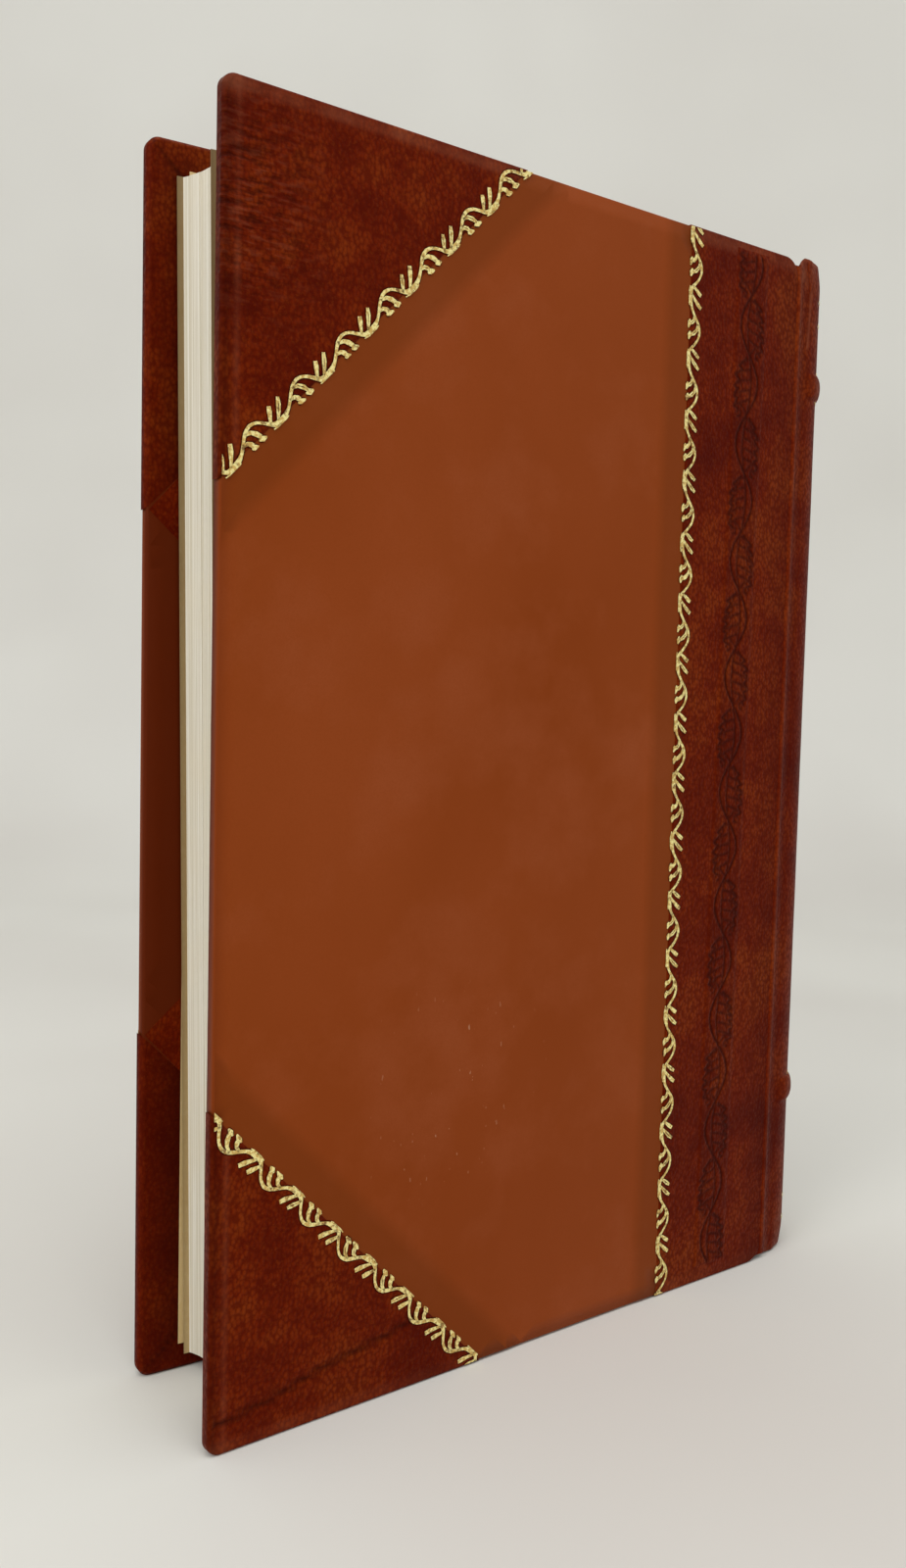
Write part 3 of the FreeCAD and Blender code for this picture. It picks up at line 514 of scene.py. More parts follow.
@dataclass(frozen=True)
class PageFinish:
    """Cut edges of the pages, each leaf a fine line."""

    name: str = "page_edges"
    pale: Colour = paint(244, 240, 228)
    shade: Colour = paint(212, 203, 180)
    dust: Colour = paint(228, 217, 192)

    def make(self) -> bpy.types.Material:
        """Make the page edge material.

        Returns:
            The material.
        """
        skin = Skin(self.name)
        leaves = skin.clouds(1.0, 3.0, 0.7, skin.stretched((0.03, 9.0, 0.012)))
        sections = skin.clouds(1.0, 1.0, 0.5, skin.stretched((0.02, 1.6, 0.006)))
        colour = skin.tint(self.shade, leaves, 0.4, 0.62, self.pale)
        colour = skin.tint(colour, sections, 0.5, 0.66, self.shade, 0.6)
        colour = skin.tint(colour, skin.clouds(18.0, 3.0), 0.5, 0.75, self.dust, 0.5)
        bump = skin.raise_by(leaves, 0.12, 0.8)
        return skin.finish(Base_Color=colour, Roughness=0.9, Normal=bump, Specular_IOR_Level=0.15)


@dataclass(frozen=True)
class PaperFinish:
    """Cream laid paper of the endpapers and other plain sheets."""

    name: str = "cream_endpaper"
    base: Colour = paint(214, 186, 132)
    foxed: Colour = paint(196, 160, 104)
    fibre: Colour = paint(226, 203, 156)
    size: float = 12.0
    shade: Colour = paint(62, 34, 14)

    def make(self) -> bpy.types.Material:
        """Make the paper material.

        Returns:
            The material.
        """
        skin = Skin(self.name)
        fibres = skin.clouds(0.5, 3.0, 0.7, skin.stretched((1.0, 1.0, 0.35)))
        colour = skin.tint(self.base, skin.clouds(self.size, 5.0, 0.6), 0.45, 0.75, self.foxed, 0.6)
        colour = skin.tint(colour, fibres, 0.5, 0.7, self.fibre, 0.5)
        colour = skin.tint(colour, skin.attribute("painted_shade"), 0.0, 1.0, self.shade, 0.9)
        bump = skin.raise_by(fibres, 0.02, 0.6)
        return skin.finish(Base_Color=colour, Roughness=0.82, Normal=bump, Specular_IOR_Level=0.2)


@dataclass(frozen=True)
class EndbandFinish:
    """Silk thread wound over a cord in two colours."""

    name: str = "wound_endband"
    first: Colour = paint(222, 206, 166)
    second: Colour = paint(126, 34, 20)
    pitch: float = 1.9

    def make(self) -> bpy.types.Material:
        """Make the endband material.

        Returns:
            The material.
        """
        skin = Skin(self.name)
        spread = 2.0 * math.pi / (20.0 * self.pitch * MM)
        bars = skin.node("ShaderNodeTexWave", {"Vector": skin.place, "Scale": spread, "Distortion": 0.4},
                         bands_direction="Y").outputs["Fac"]
        threads = skin.node("ShaderNodeTexWave", {"Vector": skin.place, "Scale": spread * 5.0},
                            bands_direction="Y").outputs["Fac"]
        colour = skin.tint(self.first, bars, 0.45, 0.55, self.second)
        bump = skin.raise_by(threads, 0.1, 0.9)
        return skin.finish(Base_Color=colour, Roughness=0.45, Normal=bump, Sheen_Weight=0.3)


@dataclass(frozen=True)
class StageFinish:
    """Pale paper under and behind the book."""

    name: str = "pale_stage"
    base: Colour = paint(225, 224, 218)
    cloud: Colour = paint(219, 217, 211)

    def make(self) -> bpy.types.Material:
        """Make the stage material.

        Returns:
            The material.
        """
        skin = Skin(self.name)
        colour = skin.tint(self.base, skin.clouds(260.0, 2.0), 0.4, 0.65, self.cloud)
        bump = skin.raise_by(skin.clouds(40.0, 2.0), 0.3, 0.3)
        return skin.finish(Base_Color=colour, Roughness=0.95, Normal=bump, Specular_IOR_Level=0.05)


@dataclass
class Workshop:
    """Turns meshes into finished pieces and keeps the materials."""

    materials: dict[Slot, bpy.types.Material] = field(default_factory=dict)
    merge: float = 0.002
    flat: float = math.radians(0.5)
    made: int = 0

    def prepare(self) -> None:
        """Make every finish once."""
        finishes = {
            Slot.LEATHER: LeatherFinish(),
            Slot.SIDING: SidingFinish(),
            Slot.GOLD: GoldFinish(),
            Slot.PAGES: PageFinish(),
            Slot.ENDPAPER: PaperFinish(),
            Slot.ENDBAND: EndbandFinish(),
            Slot.CARD: PaperFinish("grey_card", paint(128, 112, 92), paint(104, 90, 72), paint(150, 134, 112), 3.0),
            Slot.MULL: PaperFinish("sized_mull", paint(196, 184, 156), paint(176, 160, 128), paint(210, 200, 176), 2.0),
        }
        self.materials = {slot: finish.make() for slot, finish in finishes.items()}

    def dress_node(self, name: str, slot: Slot) -> None:
        """Give a CAD node its finish.

        Args:
            name: The node's name.
            slot: The finish.
        """
        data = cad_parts[name].data
        data.materials.clear()
        data.materials.append(self.materials[slot])
        LOG.info("node %s keeps its shape with the %s finish", name, slot.value)

    def copy_node(self, name: str) -> Shape:
        """Merged copy of a CAD node's loose triangles.

        Args:
            name: The node's name.

        Returns:
            A mesh with its doubles merged and its flat faces joined.
        """
        shape = bmesh.new()
        shape.from_mesh(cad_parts[name].data)
        bmesh.ops.remove_doubles(shape, verts=shape.verts, dist=self.merge * MM)
        bmesh.ops.dissolve_limit(shape, angle_limit=self.flat, verts=shape.verts, edges=shape.edges)
        return shape

    def settle(self, shape: Shape, name: str, slot: Slot, body: Body | None,
               replaced: Iterable[str] = (), sharp: float = 40.0) -> bpy.types.Object:
        """Make a finished piece of a mesh.

        Args:
            shape: The mesh in the frame's metres, freed here.
            name: The piece's name.
            slot: Its finish.
            body: The body that it rides on, or None where it is blended later.
            replaced: CAD nodes that it stands for.
            sharp: Angle in degrees past which an edge stays sharp.

        Returns:
            The piece.
        """
        mesh = bpy.data.meshes.new(name)
        shape.to_mesh(mesh)
        shape.free()
        mesh.shade_smooth()
        mesh.set_sharp_from_angle(angle=math.radians(sharp))
        mesh.materials.append(self.materials[slot])
        piece = linked(name, mesh)
        if body is not None:
            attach(piece, body.value)
        if replaced:
            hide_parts(*replaced)
        self.made += 1
        LOG.info("piece %s: %d faces, %s finish", name, len(mesh.polygons), slot.value)
        return piece


@dataclass(frozen=True)
class CoverPlace:
    """Where a cover lies, in millimetres: x runs from the joint to the fore edge, y up, z outwards."""

    body: Body
    hinge: Vector
    along: Vector
    outward: Vector

    def matrix(self) -> Matrix:
        """Matrix from the cover's own millimetres to the frame's metres."""
        up = Vector((0.0, 0.0, 1.0))
        turned = Matrix((self.along, up, self.outward)).transposed().to_4x4()
        return Matrix.Scale(MM, 4) @ Matrix.Translation(self.hinge) @ turned

    def bring(self, shape: Shape) -> None:
        """Take a mesh from the cover's own millimetres into the frame.

        Args:
            shape: The mesh.
        """
        matrix = self.matrix()
        bmesh.ops.transform(shape, matrix=matrix, verts=shape.verts)
        if matrix.determinant() < 0.0:
            bmesh.ops.reverse_faces(shape, faces=shape.faces)


def cover_place(body: Body) -> CoverPlace:
    """Place of one cover at rest.

    Args:
        body: The cover's body.

    Returns:
        Its place; the back cover stands ajar.
    """
    if body is Body.FRONT:
        return CoverPlace(body, Vector((HINGE_X, FRONT_FACE, 0.0)), Vector((-1.0, 0.0, 0.0)), Vector((0.0, 1.0, 0.0)))
    cosine, sine = math.cos(OPEN_ANGLE), math.sin(OPEN_ANGLE)
    hinge = Vector((HINGE_X, BACK_FACE, 0.0))
    return CoverPlace(body, hinge, Vector((-cosine, -sine, 0.0)), Vector((sine, -cosine, 0.0)))


@dataclass
class Vine:
    """The gold vine: a waving stem beside the siding with pairs of leaves that lean along it.

    Places are in millimetres: x along the roll, y from the siding's edge on to the leather.
    """

    pitch: float = 12.9
    inset: float = 1.7
    thickness: float = 0.09
    jitter: float = 0.12
    seed: int = 7
    open_share: float = 0.4
    overhang: float = 2.3
    stem: Polyline = (
        (0.0, 0.15), (1.4, 0.0), (2.8, 0.1), (4.2, 0.6), (5.7, 1.7), (7.1, 2.7), (8.7, 3.15), (10.3, 2.6), (11.6, 1.4),
    )
    stem_widths: tuple[float, ...] = (0.85, 1.05, 0.95, 0.6, 0.6, 0.75, 0.65, 0.55, 0.6)
    glint: Polyline = ((-0.6, -0.3), (0.8, -0.55), (2.2, -0.6), (3.4, -0.35))
    glint_widths: tuple[float, ...] = (0.18, 0.34, 0.34, 0.18)
    leather_leaves: tuple[Polyline, ...] = (
        ((-0.7, 0.6), (0.0, 1.6), (0.6, 2.4), (1.1, 3.2)),
        ((1.0, 0.3), (2.0, 1.3), (2.9, 2.3), (3.6, 3.3)),
    )
    siding_leaves: tuple[Polyline, ...] = (
        ((6.9, 2.6), (8.2, 2.2), (9.0, 1.3), (9.4, 0.4)),
        ((5.3, 1.4), (6.4, 1.2), (6.9, 0.6), (7.1, 0.2)),
    )
    leaf_widths: tuple[float, ...] = (0.45, 0.7, 0.95, 0.8)
    strand_widths: tuple[float, ...] = (0.3, 0.32, 0.36, 0.4)
    strand_gaps: tuple[float, ...] = (0.05, 0.22, 0.28, 0.1)

    def build(self, length: float, spread: float = 0.0) -> Shape:
        """Lay repeats along a line.

        Args:
            length: Length of the roll in millimetres.
            spread: Extra width, for the bed round the gold: the hot tool's burn and painted shadow of the impression.

        Returns:
            The roll, from a repeat before x 0 to one past the length, with the gold's top at z 0.
        """
        shape = bmesh.new()
        chance = random.Random(self.seed)
        count = max(1, round(length / self.pitch))
        scale = length / count / self.pitch
        leaves = [(leaf, False) for leaf in self.leather_leaves] + [(leaf, True) for leaf in self.siding_leaves]
        line: list[Point] = []
        widths: list[float] = []
        for repeat in range(-1, count + 1):
            spot = (repeat * self.pitch, chance.uniform(-self.jitter, self.jitter), scale)
            line += self.placed(self.stem, *spot)
            widths += [chance.uniform(0.85, 1.1) * width for width in self.stem_widths]
            for leaf, tipped in leaves:
                points = self.placed(leaf, *spot, chance.uniform(-self.jitter, self.jitter))
                self.leaf(shape, points, chance.random() < self.open_share, spread)
                if tipped:
                    end = Vector(points[-1]) + Vector((0.1, 0.45))
                    reach = chance.uniform(0.7, 1.0)
                    tip = [tuple(end + Vector((reach * side, 0.22 * side))) for side in (-1, 0, 1)]
                    self.ribbon(shape, tip, [0.3 + spread, chance.uniform(1.0, 1.2) + spread, 0.3 + spread])
            glint = self.placed(self.glint, *spot, chance.uniform(-0.3, 0.3))
            if not spread:
                self.ribbon(shape, glint, self.glint_widths)
        between = [width for pair in zip(widths, widths[1:]) for width in (pair[0], sum(pair) / 2.0)] + [widths[-1]]
        self.ribbon(shape, self.curved(line), [width + spread for width in between])
        bmesh.ops.recalc_face_normals(shape, faces=shape.faces)
        for face in shape.faces:
            if face.normal.z < 0.0:
                face.normal_flip()
        bmesh.ops.bisect_plane(shape, geom=whole(shape), dist=1e-4, plane_co=(0, self.overhang, 0),
                               plane_no=(0, 1, 0), clear_outer=True)
        if not spread:
            bottom = extruded(shape, shape.faces[:], (0.0, 0.0, -self.thickness))
            bmesh.ops.reverse_faces(shape, faces=bottom)
            bmesh.ops.recalc_face_normals(shape, faces=shape.faces)
        return shape

    def placed(self, points: Polyline, start: float, slip: float, scale: float, shift: float = 0.0) -> list[Point]:
        """Take points of one repeat to their place on the roll.

        Args:
            points: The points, counted from the repeat's start.
            start: Where the repeat starts.
            slip: How far the hand tool slipped across the roll.
            scale: Stretch that makes whole repeats fit the roll.
            shift: How far the points moved along the roll.

        Returns:
            The placed points.
        """
        return [((start + x + shift) * scale, self.inset - y + slip) for x, y in points]

    def leaf(self, shape: Shape, points: Polyline, opened: bool, spread: float) -> None:
        """Lay one leaf, either full or as two strands round a slit.

        Args:
            shape: The mesh.
            points: The leaf's middle line, four points from its root to its tip.
            opened: Whether it has a slit.
            spread: Extra width.
        """
        if spread or not opened:
            self.ribbon(shape, points, [size + spread for size in self.leaf_widths])
            return
        way = (Vector(points[-1]) - Vector(points[0])).normalized()
        across = Vector((-way.y, way.x))
        for side in (-1.0, 1.0):
            strand = [tuple(Vector(point) + across * side * gap) for point, gap in zip(points, self.strand_gaps)]
            self.ribbon(shape, strand, self.strand_widths)

    @staticmethod
    def ribbon(shape: Shape, points: Polyline, widths: Sequence[float]) -> None:
        """Run a flat ribbon along points by extruding its end edge.

        Args:
            shape: The mesh, in millimetres along and across the roll.
            points: The ribbon's middle line.
            widths: Its width at each point.
        """
        line = [Vector((x, y, 0.0)) for x, y in points]
        edge = None
        for index, (middle, width) in enumerate(zip(line, widths)):
            ahead = line[min(index + 1, len(line) - 1)] - line[max(index - 1, 0)]
            across = Vector((-ahead.y, ahead.x, 0.0)).normalized() * (width / 2.0)
            if edge is None:
                pair = [bmesh.ops.create_vert(shape, co=middle + side * across)["vert"][0] for side in (1, -1)]
                edge = shape.edges.new(pair)
                continue
            edge = only(bmesh.types.BMEdge, bmesh.ops.extrude_edge_only(shape, edges=[edge])["geom"])[0]
            for vert in edge.verts:
                side = -1.0 if (vert.co - line[index - 1]).dot(across) < 0.0 else 1.0
                vert.co = middle + side * across

    @staticmethod
    def curved(points: Polyline) -> Polyline:
        """Round a line by adding a smooth point in each of its runs.

        Args:
            points: The line's points.

        Returns:
            The points with one more in each run.
        """
        result: list[Point] = []
        last = len(points) - 1
        for index in range(last):
            a, b, c, d = (points[max(0, min(last, index + k))] for k in (-1, 0, 1, 2))
            middle = tuple((9.0 * (b[axis] + c[axis]) - a[axis] - d[axis]) / 16.0 for axis in (0, 1))
            result += [tuple(b), middle]
        result.append(tuple(points[last]))
        return result


@dataclass
class BlindRoll:
    """Leafy band pressed into the leather without gold."""

    half_width: float = 5.6
    low: float = 3.2
    high: float = 237.4
    tail_centre: float = 19.2
    head_centre: float = 16.6
    pitch: float = 26.4
    rise: float = 0.16
    depth: float = 0.14
    feather: float = 1.3
    stroke_half: float = 0.42
    columns: int = 44
    rows: int = 900
    seed: int = 21

    def strokes(self) -> list[Stroke]:
        """Straight strokes of the whole band.

        Returns:
            Each stroke's two points, across and up in millimetres, and its weight.
        """
        chance = random.Random(self.seed)
        found: list[Stroke] = []
        half = self.pitch / 2.0
        for index in range(int((self.high - self.low) / half) + 1):
            side = 1.0 if index % 2 else -1.0
            base = self.low + index * half
            for bow, weight in ((3.3, 1.0), (1.0, 0.8)):
                stem = [(-side * bow * math.sin(math.pi * part / 8.0), base + half * part / 8.0) for part in range(9)]
                found += self.chain(stem, weight)
            outline = [(side * 0.9, base + half * 0.93)]
            for lobe in range(5):
                share = 0.9 - 0.17 * lobe
                swell = math.sin(math.pi * (share * 0.8 + 0.12))
                reach = side * (2.3 + 2.7 * swell + chance.uniform(-0.35, 0.35))
                level = base + half * share - 0.6
                root = (-side * 0.5 * math.sin(math.pi * share), base + half * share + 0.3)
                outline += [(reach, level - chance.uniform(0.7, 1.1)), (reach * 0.66, level - chance.uniform(1.3, 1.7))]
                vein = (reach * chance.uniform(0.4, 0.5), level + chance.uniform(0.1, 0.5))
                found += self.chain((root, vein, (reach * 0.85, level - 0.6)), 0.75)
                found += self.chain((vein, (reach * 0.5, level - 0.9)), 0.6)
            found += self.chain(outline, 0.95)
            curl = [(-side * (2.7 + 0.8 * math.cos(turn)), base + half + 0.8 * math.sin(turn))
                    for turn in (0.2, 1.4, 2.6, 3.8, 5.0)]
            found += self.chain(curl, 0.75)
            bud = ((0.0, base + half), (-side * 2.0, base + half + 1.9), (-side * 3.6, base + half + 2.3))
            found += self.chain(bud, 0.7)
        return found

    @staticmethod
    def chain(points: Polyline, weight: float) -> list[Stroke]:
        """Strokes of one weight from each point to the next."""
        return [(tuple(first), tuple(second), weight) for first, second in zip(points, points[1:])]

    def press(self, across: np.ndarray, up: np.ndarray) -> np.ndarray:
        """How deep the tool has gone in at each point.

        Args:
            across: Distance from the band's middle.
            up: Height above the base.

        Returns:
            Depth from 0 to 1.
        """
        deep = np.zeros_like(across)
        for (ax, ay), (bx, by), weight in self.strokes():
            near = (up > min(ay, by) - 1.0) & (up < max(ay, by) + 1.0)
            px, py = across[near] - ax, up[near] - ay
            dx, dy = bx - ax, by - ay
            share = np.clip((px * dx + py * dy) / (dx * dx + dy * dy + 1e-9), 0.0, 1.0)
            gap = np.hypot(px - share * dx, py - share * dy)
            mark = weight * np.clip(1.3 - gap / self.stroke_half, 0.0, 1.0)
            deep[near] = np.maximum(deep[near], mark)
        return deep

    def build(self, face_level: float) -> Shape:
        """Make the pressed band.

        Args:
            face_level: The leather's outer face along z.

        Returns:
            A panel in the cover's own millimetres, its rim tucked under the leather.
        """
        shape = bmesh.new()
        bmesh.ops.create_grid(shape, x_segments=self.columns, y_segments=self.rows, size=1.0)
        shape.verts.ensure_lookup_table()
        plan = np.array([vert.co.to_tuple() for vert in shape.verts])
        across = plan[:, 0] * self.half_width
        up = self.low + (plan[:, 1] + 1.0) / 2.0 * (self.high - self.low)
        deep = self.press(across, up)
        rim = np.minimum(self.half_width - np.abs(across), np.minimum(up - self.low, self.high - up))
        feather = np.clip(rim / self.feather, 0.0, 1.0)
        feather = feather * feather * (3.0 - 2.0 * feather)
        drift = self.tail_centre + (self.head_centre - self.tail_centre) * (up / COVER_HEIGHT) ** 1.5
        painted_shade, = layers(shape, "painted_shade")
        for index, vert in enumerate(shape.verts):
            lift = (self.rise + 0.03) * feather[index] - 0.03 - self.depth * deep[index] * feather[index]
            vert.co = Vector((across[index] + drift[index], up[index], face_level + lift))
            # Painted shade in the pressed strokes, and the whole band a little darker.
            vert[painted_shade] = float(deep[index] * feather[index] * 0.8 + 0.16 * feather[index])
        face_out(shape, 2)
        return shape


@dataclass
class Cover:
    """One cover: board, leather corners and strip, siding, endpaper and tooling."""

    shop: Workshop
    place: CoverPlace
    tail_leg: float
    head_leg: float
    strip_width: float = 37.0
    leather_level: float = -0.15
    lap: float = 7.0
    siding_level: float = -0.45
    step_rise: float = 0.2
    step_run: float = 1.6
    roll_inset: float = 1.7
    head_inset: float = 1.3
    roll_margin: float = 0.5
    bed_spread: float = 0.42
    bed_depth: float = 0.075
    net: float = 2.0
    corner_net: float = 1.0
    siding_net: float = 4.0
    turned_level: float = -2.0
    joint_gap: float = 0.3
    joint_round: float = 4.5
    turn_in: float = 0.62
    edge_span: Point = (-2.9, -0.7)
    fold: Point = (142.9, 150.3)
    inside: float = -3.15
    scuff: Point = (96.0, 56.0)
    creases: tuple[Polyline, ...] = (
        ((149.5, 5.8), (139.0, 7.2), (127.0, 10.1), (111.7, 12.3), (104.7, 14.2)),
        ((148.6, 226.6), (143.2, 227.6)),
    )

    @property
    def side(self) -> str:
        """Word that starts the names of this cover's nodes."""
        return self.place.body.value.split("_")[0]

    def build(self) -> None:
        """Make every piece of the cover."""
        side = self.side
        self.shop.dress_node(side + "_board", Slot.CARD)
        self.shop.dress_node(side + "_pastedown", Slot.ENDPAPER)
        self.leather(side + "_tail_corner", 0.0, self.tail_leg + 2.0)
        self.leather(side + "_head_corner", COVER_HEIGHT - self.head_leg - 2.0, COVER_HEIGHT)
        self.leather(side + "_spine_strip", 0.0, COVER_HEIGHT)
        self.joint_edge()
        self.corner_folds()
        self.siding()
        self.rolls()
        self.blind_roll()

    def copied(self, name: str) -> Shape:
        """Merged copy of one of the cover's nodes, in the cover's own millimetres."""
        shape = self.shop.copy_node(name)
        bmesh.ops.transform(shape, matrix=self.place.matrix().inverted(), verts=shape.verts)
        return shape

    def lay(self, shape: Shape, name: str, slot: Slot, replaced: Iterable[str] = (), sharp: float = 40.0) -> None:
        """Bring a mesh into the frame and make it a piece of this cover.

        Args:
            shape: The mesh in the cover's own millimetres.
            name: The piece's name.
            slot: Its finish.
            replaced: CAD nodes that it stands for.
            sharp: Angle in degrees past which an edge stays sharp.
        """
        self.place.bring(shape)
        self.shop.settle(shape, name, slot, self.place.body, replaced, sharp)

    def rubbed_and_highlighted(self, point: Vector) -> float:
        """How pale an edge of the cover is at a point: wear at the corners, and along the head edge and a line near the
        fore edge partly wear and partly painted highlight.

        Args:
            point: A point in the cover's own millimetres.

        Returns:
            Share from 0 to 1.
        """
        end = min(point.y, COVER_HEIGHT - point.y)
        fore = COVER_REACH - point.x
        # The head edge gets more than the tail edge: painted highlight, as if lit from above.
        headwards = 1.0 if point.y > COVER_HEIGHT / 2.0 else 0.35
        rim = max(headwards * ease(1.0 - abs(end - 1.5) / 1.8), 0.5 * ease(1.0 - abs(fore - 3.2) / 0.9))
        corner = ease(1.0 - math.hypot(max(0.0, end - 1.5), max(0.0, fore - 3.0)) / 4.0)
        patch = 0.5 + 0.5 * noise.noise(point * 0.16)
        return min(1.0, rim * (0.25 + 0.7 * patch) + 0.35 * headwards * corner)

    def crease(self, point: Vector) -> float:
        """Depth of the creases that the leather of the back tail corner shows.

        Args:
            point: A point in the cover's own millimetres.

        Returns:
            Share from 0 to 1.
        """
        if self.place.body is not Body.BACK:
            return 0.0
        deep = 0.0
        for crease in self.creases:
            for (ax, ay), (bx, by) in zip(crease, crease[1:]):
                run = Vector((bx - ax, by - ay))
                here = Vector((point.x - ax, point.y - ay))
                share = min(1.0, max(0.0, here.dot(run) / run.length_squared))
                gap = (here - run * share).length
                deep = max(deep, ease(1.0 - gap / 1.1))
        return deep

    def leather(self, name: str, low: float, high: float) -> None:
        """Copy a leather node with a net of fine faces, softened, marked by wear and painted highlight, and darkened
        with painted shade.

        Args:
            name: The CAD node's name.
            low: Lower end of its net.
            high: Upper end of its net.
        """
        shape = self.copied(name)
        near, far = min(vert.co.x for vert in shape.verts), max(vert.co.x for vert in shape.verts)
        net = self.corner_net if "corner" in name else self.net
        cut_net(shape, Vector(), Vector((1, 0, 0)), steps(near, far, net))
        cut_net(shape, Vector(), Vector((0, 1, 0)), steps(low, high, net))
        wear_and_highlight, painted_shade, creased = layers(shape, "wear_and_highlight", "painted_shade", "creased")
        for vert in shape.verts:
            point = vert.co.copy()
            fore = COVER_REACH - point.x
            head = COVER_HEIGHT - point.y
            end = min(point.y, head)
            # Painted shade on the turned-in leather inside the cover, lighter near its edges.
            inside = 0.15 + 0.6 * ease(min(end, fore) / 9.0) if point.z < self.turned_level else 0.0
            deep = self.crease(point)
            shade = 0.28 * ease(1.0 - point.x / 12.0) if "strip" in name else 0.0
            # Painted shade along the mitre fold of the corners inside.
            mitre = ease(1.0 - abs(fore - end) / 0.9) if inside and end < 12.0 else 0.0
            # Painted shade on the fore edge where it rounds over.
            rolled = 0.0 if inside else 0.5 * ease(1.0 - (fore - 0.6) / 2.4)
            # Wear and painted highlight along the edges, none inside.
            vert[wear_and_highlight] = 0.0 if inside else self.rubbed_and_highlighted(point)
            vert[creased] = 0.0 if inside else ease(1.0 - abs(head - 20.0) / 30.0) * ease(1.15 - fore / 24.0)
            # Painted shade in the creases, by the joint, inside, on the rounded fore edge and along the mitres.
            vert[painted_shade] = min(1.0, 0.85 * deep + shade + inside + rolled + 0.4 * mitre)
            if abs(point.z - self.leather_level) < 0.02:
                swell = 0.5 + 0.5 * noise.noise(point * 0.11)
                vert.co.z -= 0.05 * swell + 0.22 * deep
        self.lay(shape, name + "_leather", Slot.LEATHER, (name,), 50.0)

    def joint_edge(self) -> None:
        """Carry the leather round the board's end at the joint and its two rounded corners."""
        shape = bmesh.new()
        low, high = self.edge_span
        radius = self.joint_round
        middle = self.joint_gap + radius - 0.06
        made = bmesh.ops.create_grid(shape, x_segments=1, y_segments=1, size=0.5)["verts"]
        size = Matrix.Diagonal((high - low, self.turn_in, 1.0, 1.0))
        stand = Matrix.Rotation(math.pi / 2.0, 4, "Y")
        first = Matrix.Translation((middle, 0.03 + self.turn_in / 2.0, (low + high) / 2.0))
        bmesh.ops.transform(shape, matrix=first @ stand @ size, verts=made)
        section = shape.faces[:]
        for level in (radius, COVER_HEIGHT - radius):
            if level > radius:
                corner, section = section, extruded(shape, section, (0.0, level - radius, 0.0))
                bmesh.ops.delete(shape, geom=corner, context="FACES_ONLY")
            turned = bmesh.ops.spin(shape, geom=section, cent=(middle, level, 0.0), axis=(0.0, 0.0, 1.0),
                                    angle=-math.pi / 2.0, steps=8)["geom_last"]
            section = only(bmesh.types.BMFace, turned)
        bmesh.ops.recalc_face_normals(shape, faces=shape.faces)
        self.lay(shape, self.side + "_joint_edge", Slot.LEATHER)

    def corner_folds(self) -> None:
        """Lay the corners' leather over the siding inside the cover, where its slanting edge folds back."""
        shape = bmesh.new()
        inner, fore = self.fold
        for end, way, leg in ((0.0, 1.0, self.tail_leg), (COVER_HEIGHT, -1.0, self.head_leg)):
            level = end + way * (leg - COVER_REACH + fore)
            reach = way * (fore - inner)
            plan = ((fore, level + way * 0.7), (inner, level - reach), (inner, level + reach))
            verts = [bmesh.ops.create_vert(shape, co=(x, y, self.inside - 0.05))["vert"][0] for x, y in plan]
            extruded(shape, bmesh.ops.contextual_create(shape, geom=verts)["faces"], (0.0, 0.0, 0.1))
        bmesh.ops.recalc_face_normals(shape, faces=shape.faces)
        self.lay(shape, self.side + "_corner_folds", Slot.LEATHER, (), 30.0)

    def is_step(self, edge: bmesh.types.BMEdge) -> bool:
        """Whether an edge of the siding is part of its step over the leather."""
        first, second = (vert.co for vert in edge.verts)
        upright = (first.xy - second.xy).length < 0.01 and max(first.z, second.z) > self.siding_level - 0.05
        return upright and abs(abs(first.z - second.z) - self.step_rise) < 0.01

    def siding(self) -> None:
        """Copy the siding, with the step over the leather's pared edge made soft."""
        name = self.side + "_siding"
        shape = self.copied(name)
        root = math.sqrt(0.5)
        tail = COVER_REACH - self.tail_leg - self.lap / root
        head = COVER_REACH - self.head_leg - self.lap / root
        for origin, way in (
            (Vector((self.strip_width + self.lap, 0, 0)), Vector((1, 0, 0))),
            (Vector((tail, 0, 0)), Vector((-root, root, 0))),
            (Vector((head, COVER_HEIGHT, 0)), Vector((-root, -root, 0))),
        ):
            cut_net(shape, origin, way, (-self.step_run, self.step_run))
        for edge in [edge for edge in shape.edges if self.is_step(edge)]:
            level = sum(vert.co.z for vert in edge.verts) / 2.0
            for vert in edge.verts:
                vert.co.z = level
        bmesh.ops.remove_doubles(shape, verts=shape.verts, dist=0.002)
        cut_net(shape, Vector(), Vector((1, 0, 0)), steps(self.strip_width, COVER_REACH, self.siding_net))
        cut_net(shape, Vector(), Vector((0, 1, 0)), steps(0.0, COVER_HEIGHT, self.siding_net))
        wear_and_highlight, painted_shade, lapped, scuffed = layers(shape, "wear_and_highlight", "painted_shade", "lapped", "scuffed")
        for vert in shape.verts:
            inside = vert.co.z < self.turned_level
            # Paler near the edges: half of the leather's wear and painted highlight.
            vert[wear_and_highlight] = 0.5 * self.rubbed_and_highlighted(vert.co)
            vert[lapped] = 0.0 if inside else 0.55 * min(1.0, max(0.0, vert.co.z - self.siding_level) / self.step_rise)
            # Painted shade: full on the turned-in cloth inside, some at the fore edge.
            vert[painted_shade] = 1.0 if inside else 0.4 * ease(1.0 - (COVER_REACH - vert.co.x) / 3.0)
            vert[scuffed] = 0.0 if inside else ease(1.25 - (vert.co.xy - Vector(self.scuff)).length / 24.0)
        self.lay(shape, name + "_cloth", Slot.SIDING, (name,), 50.0)

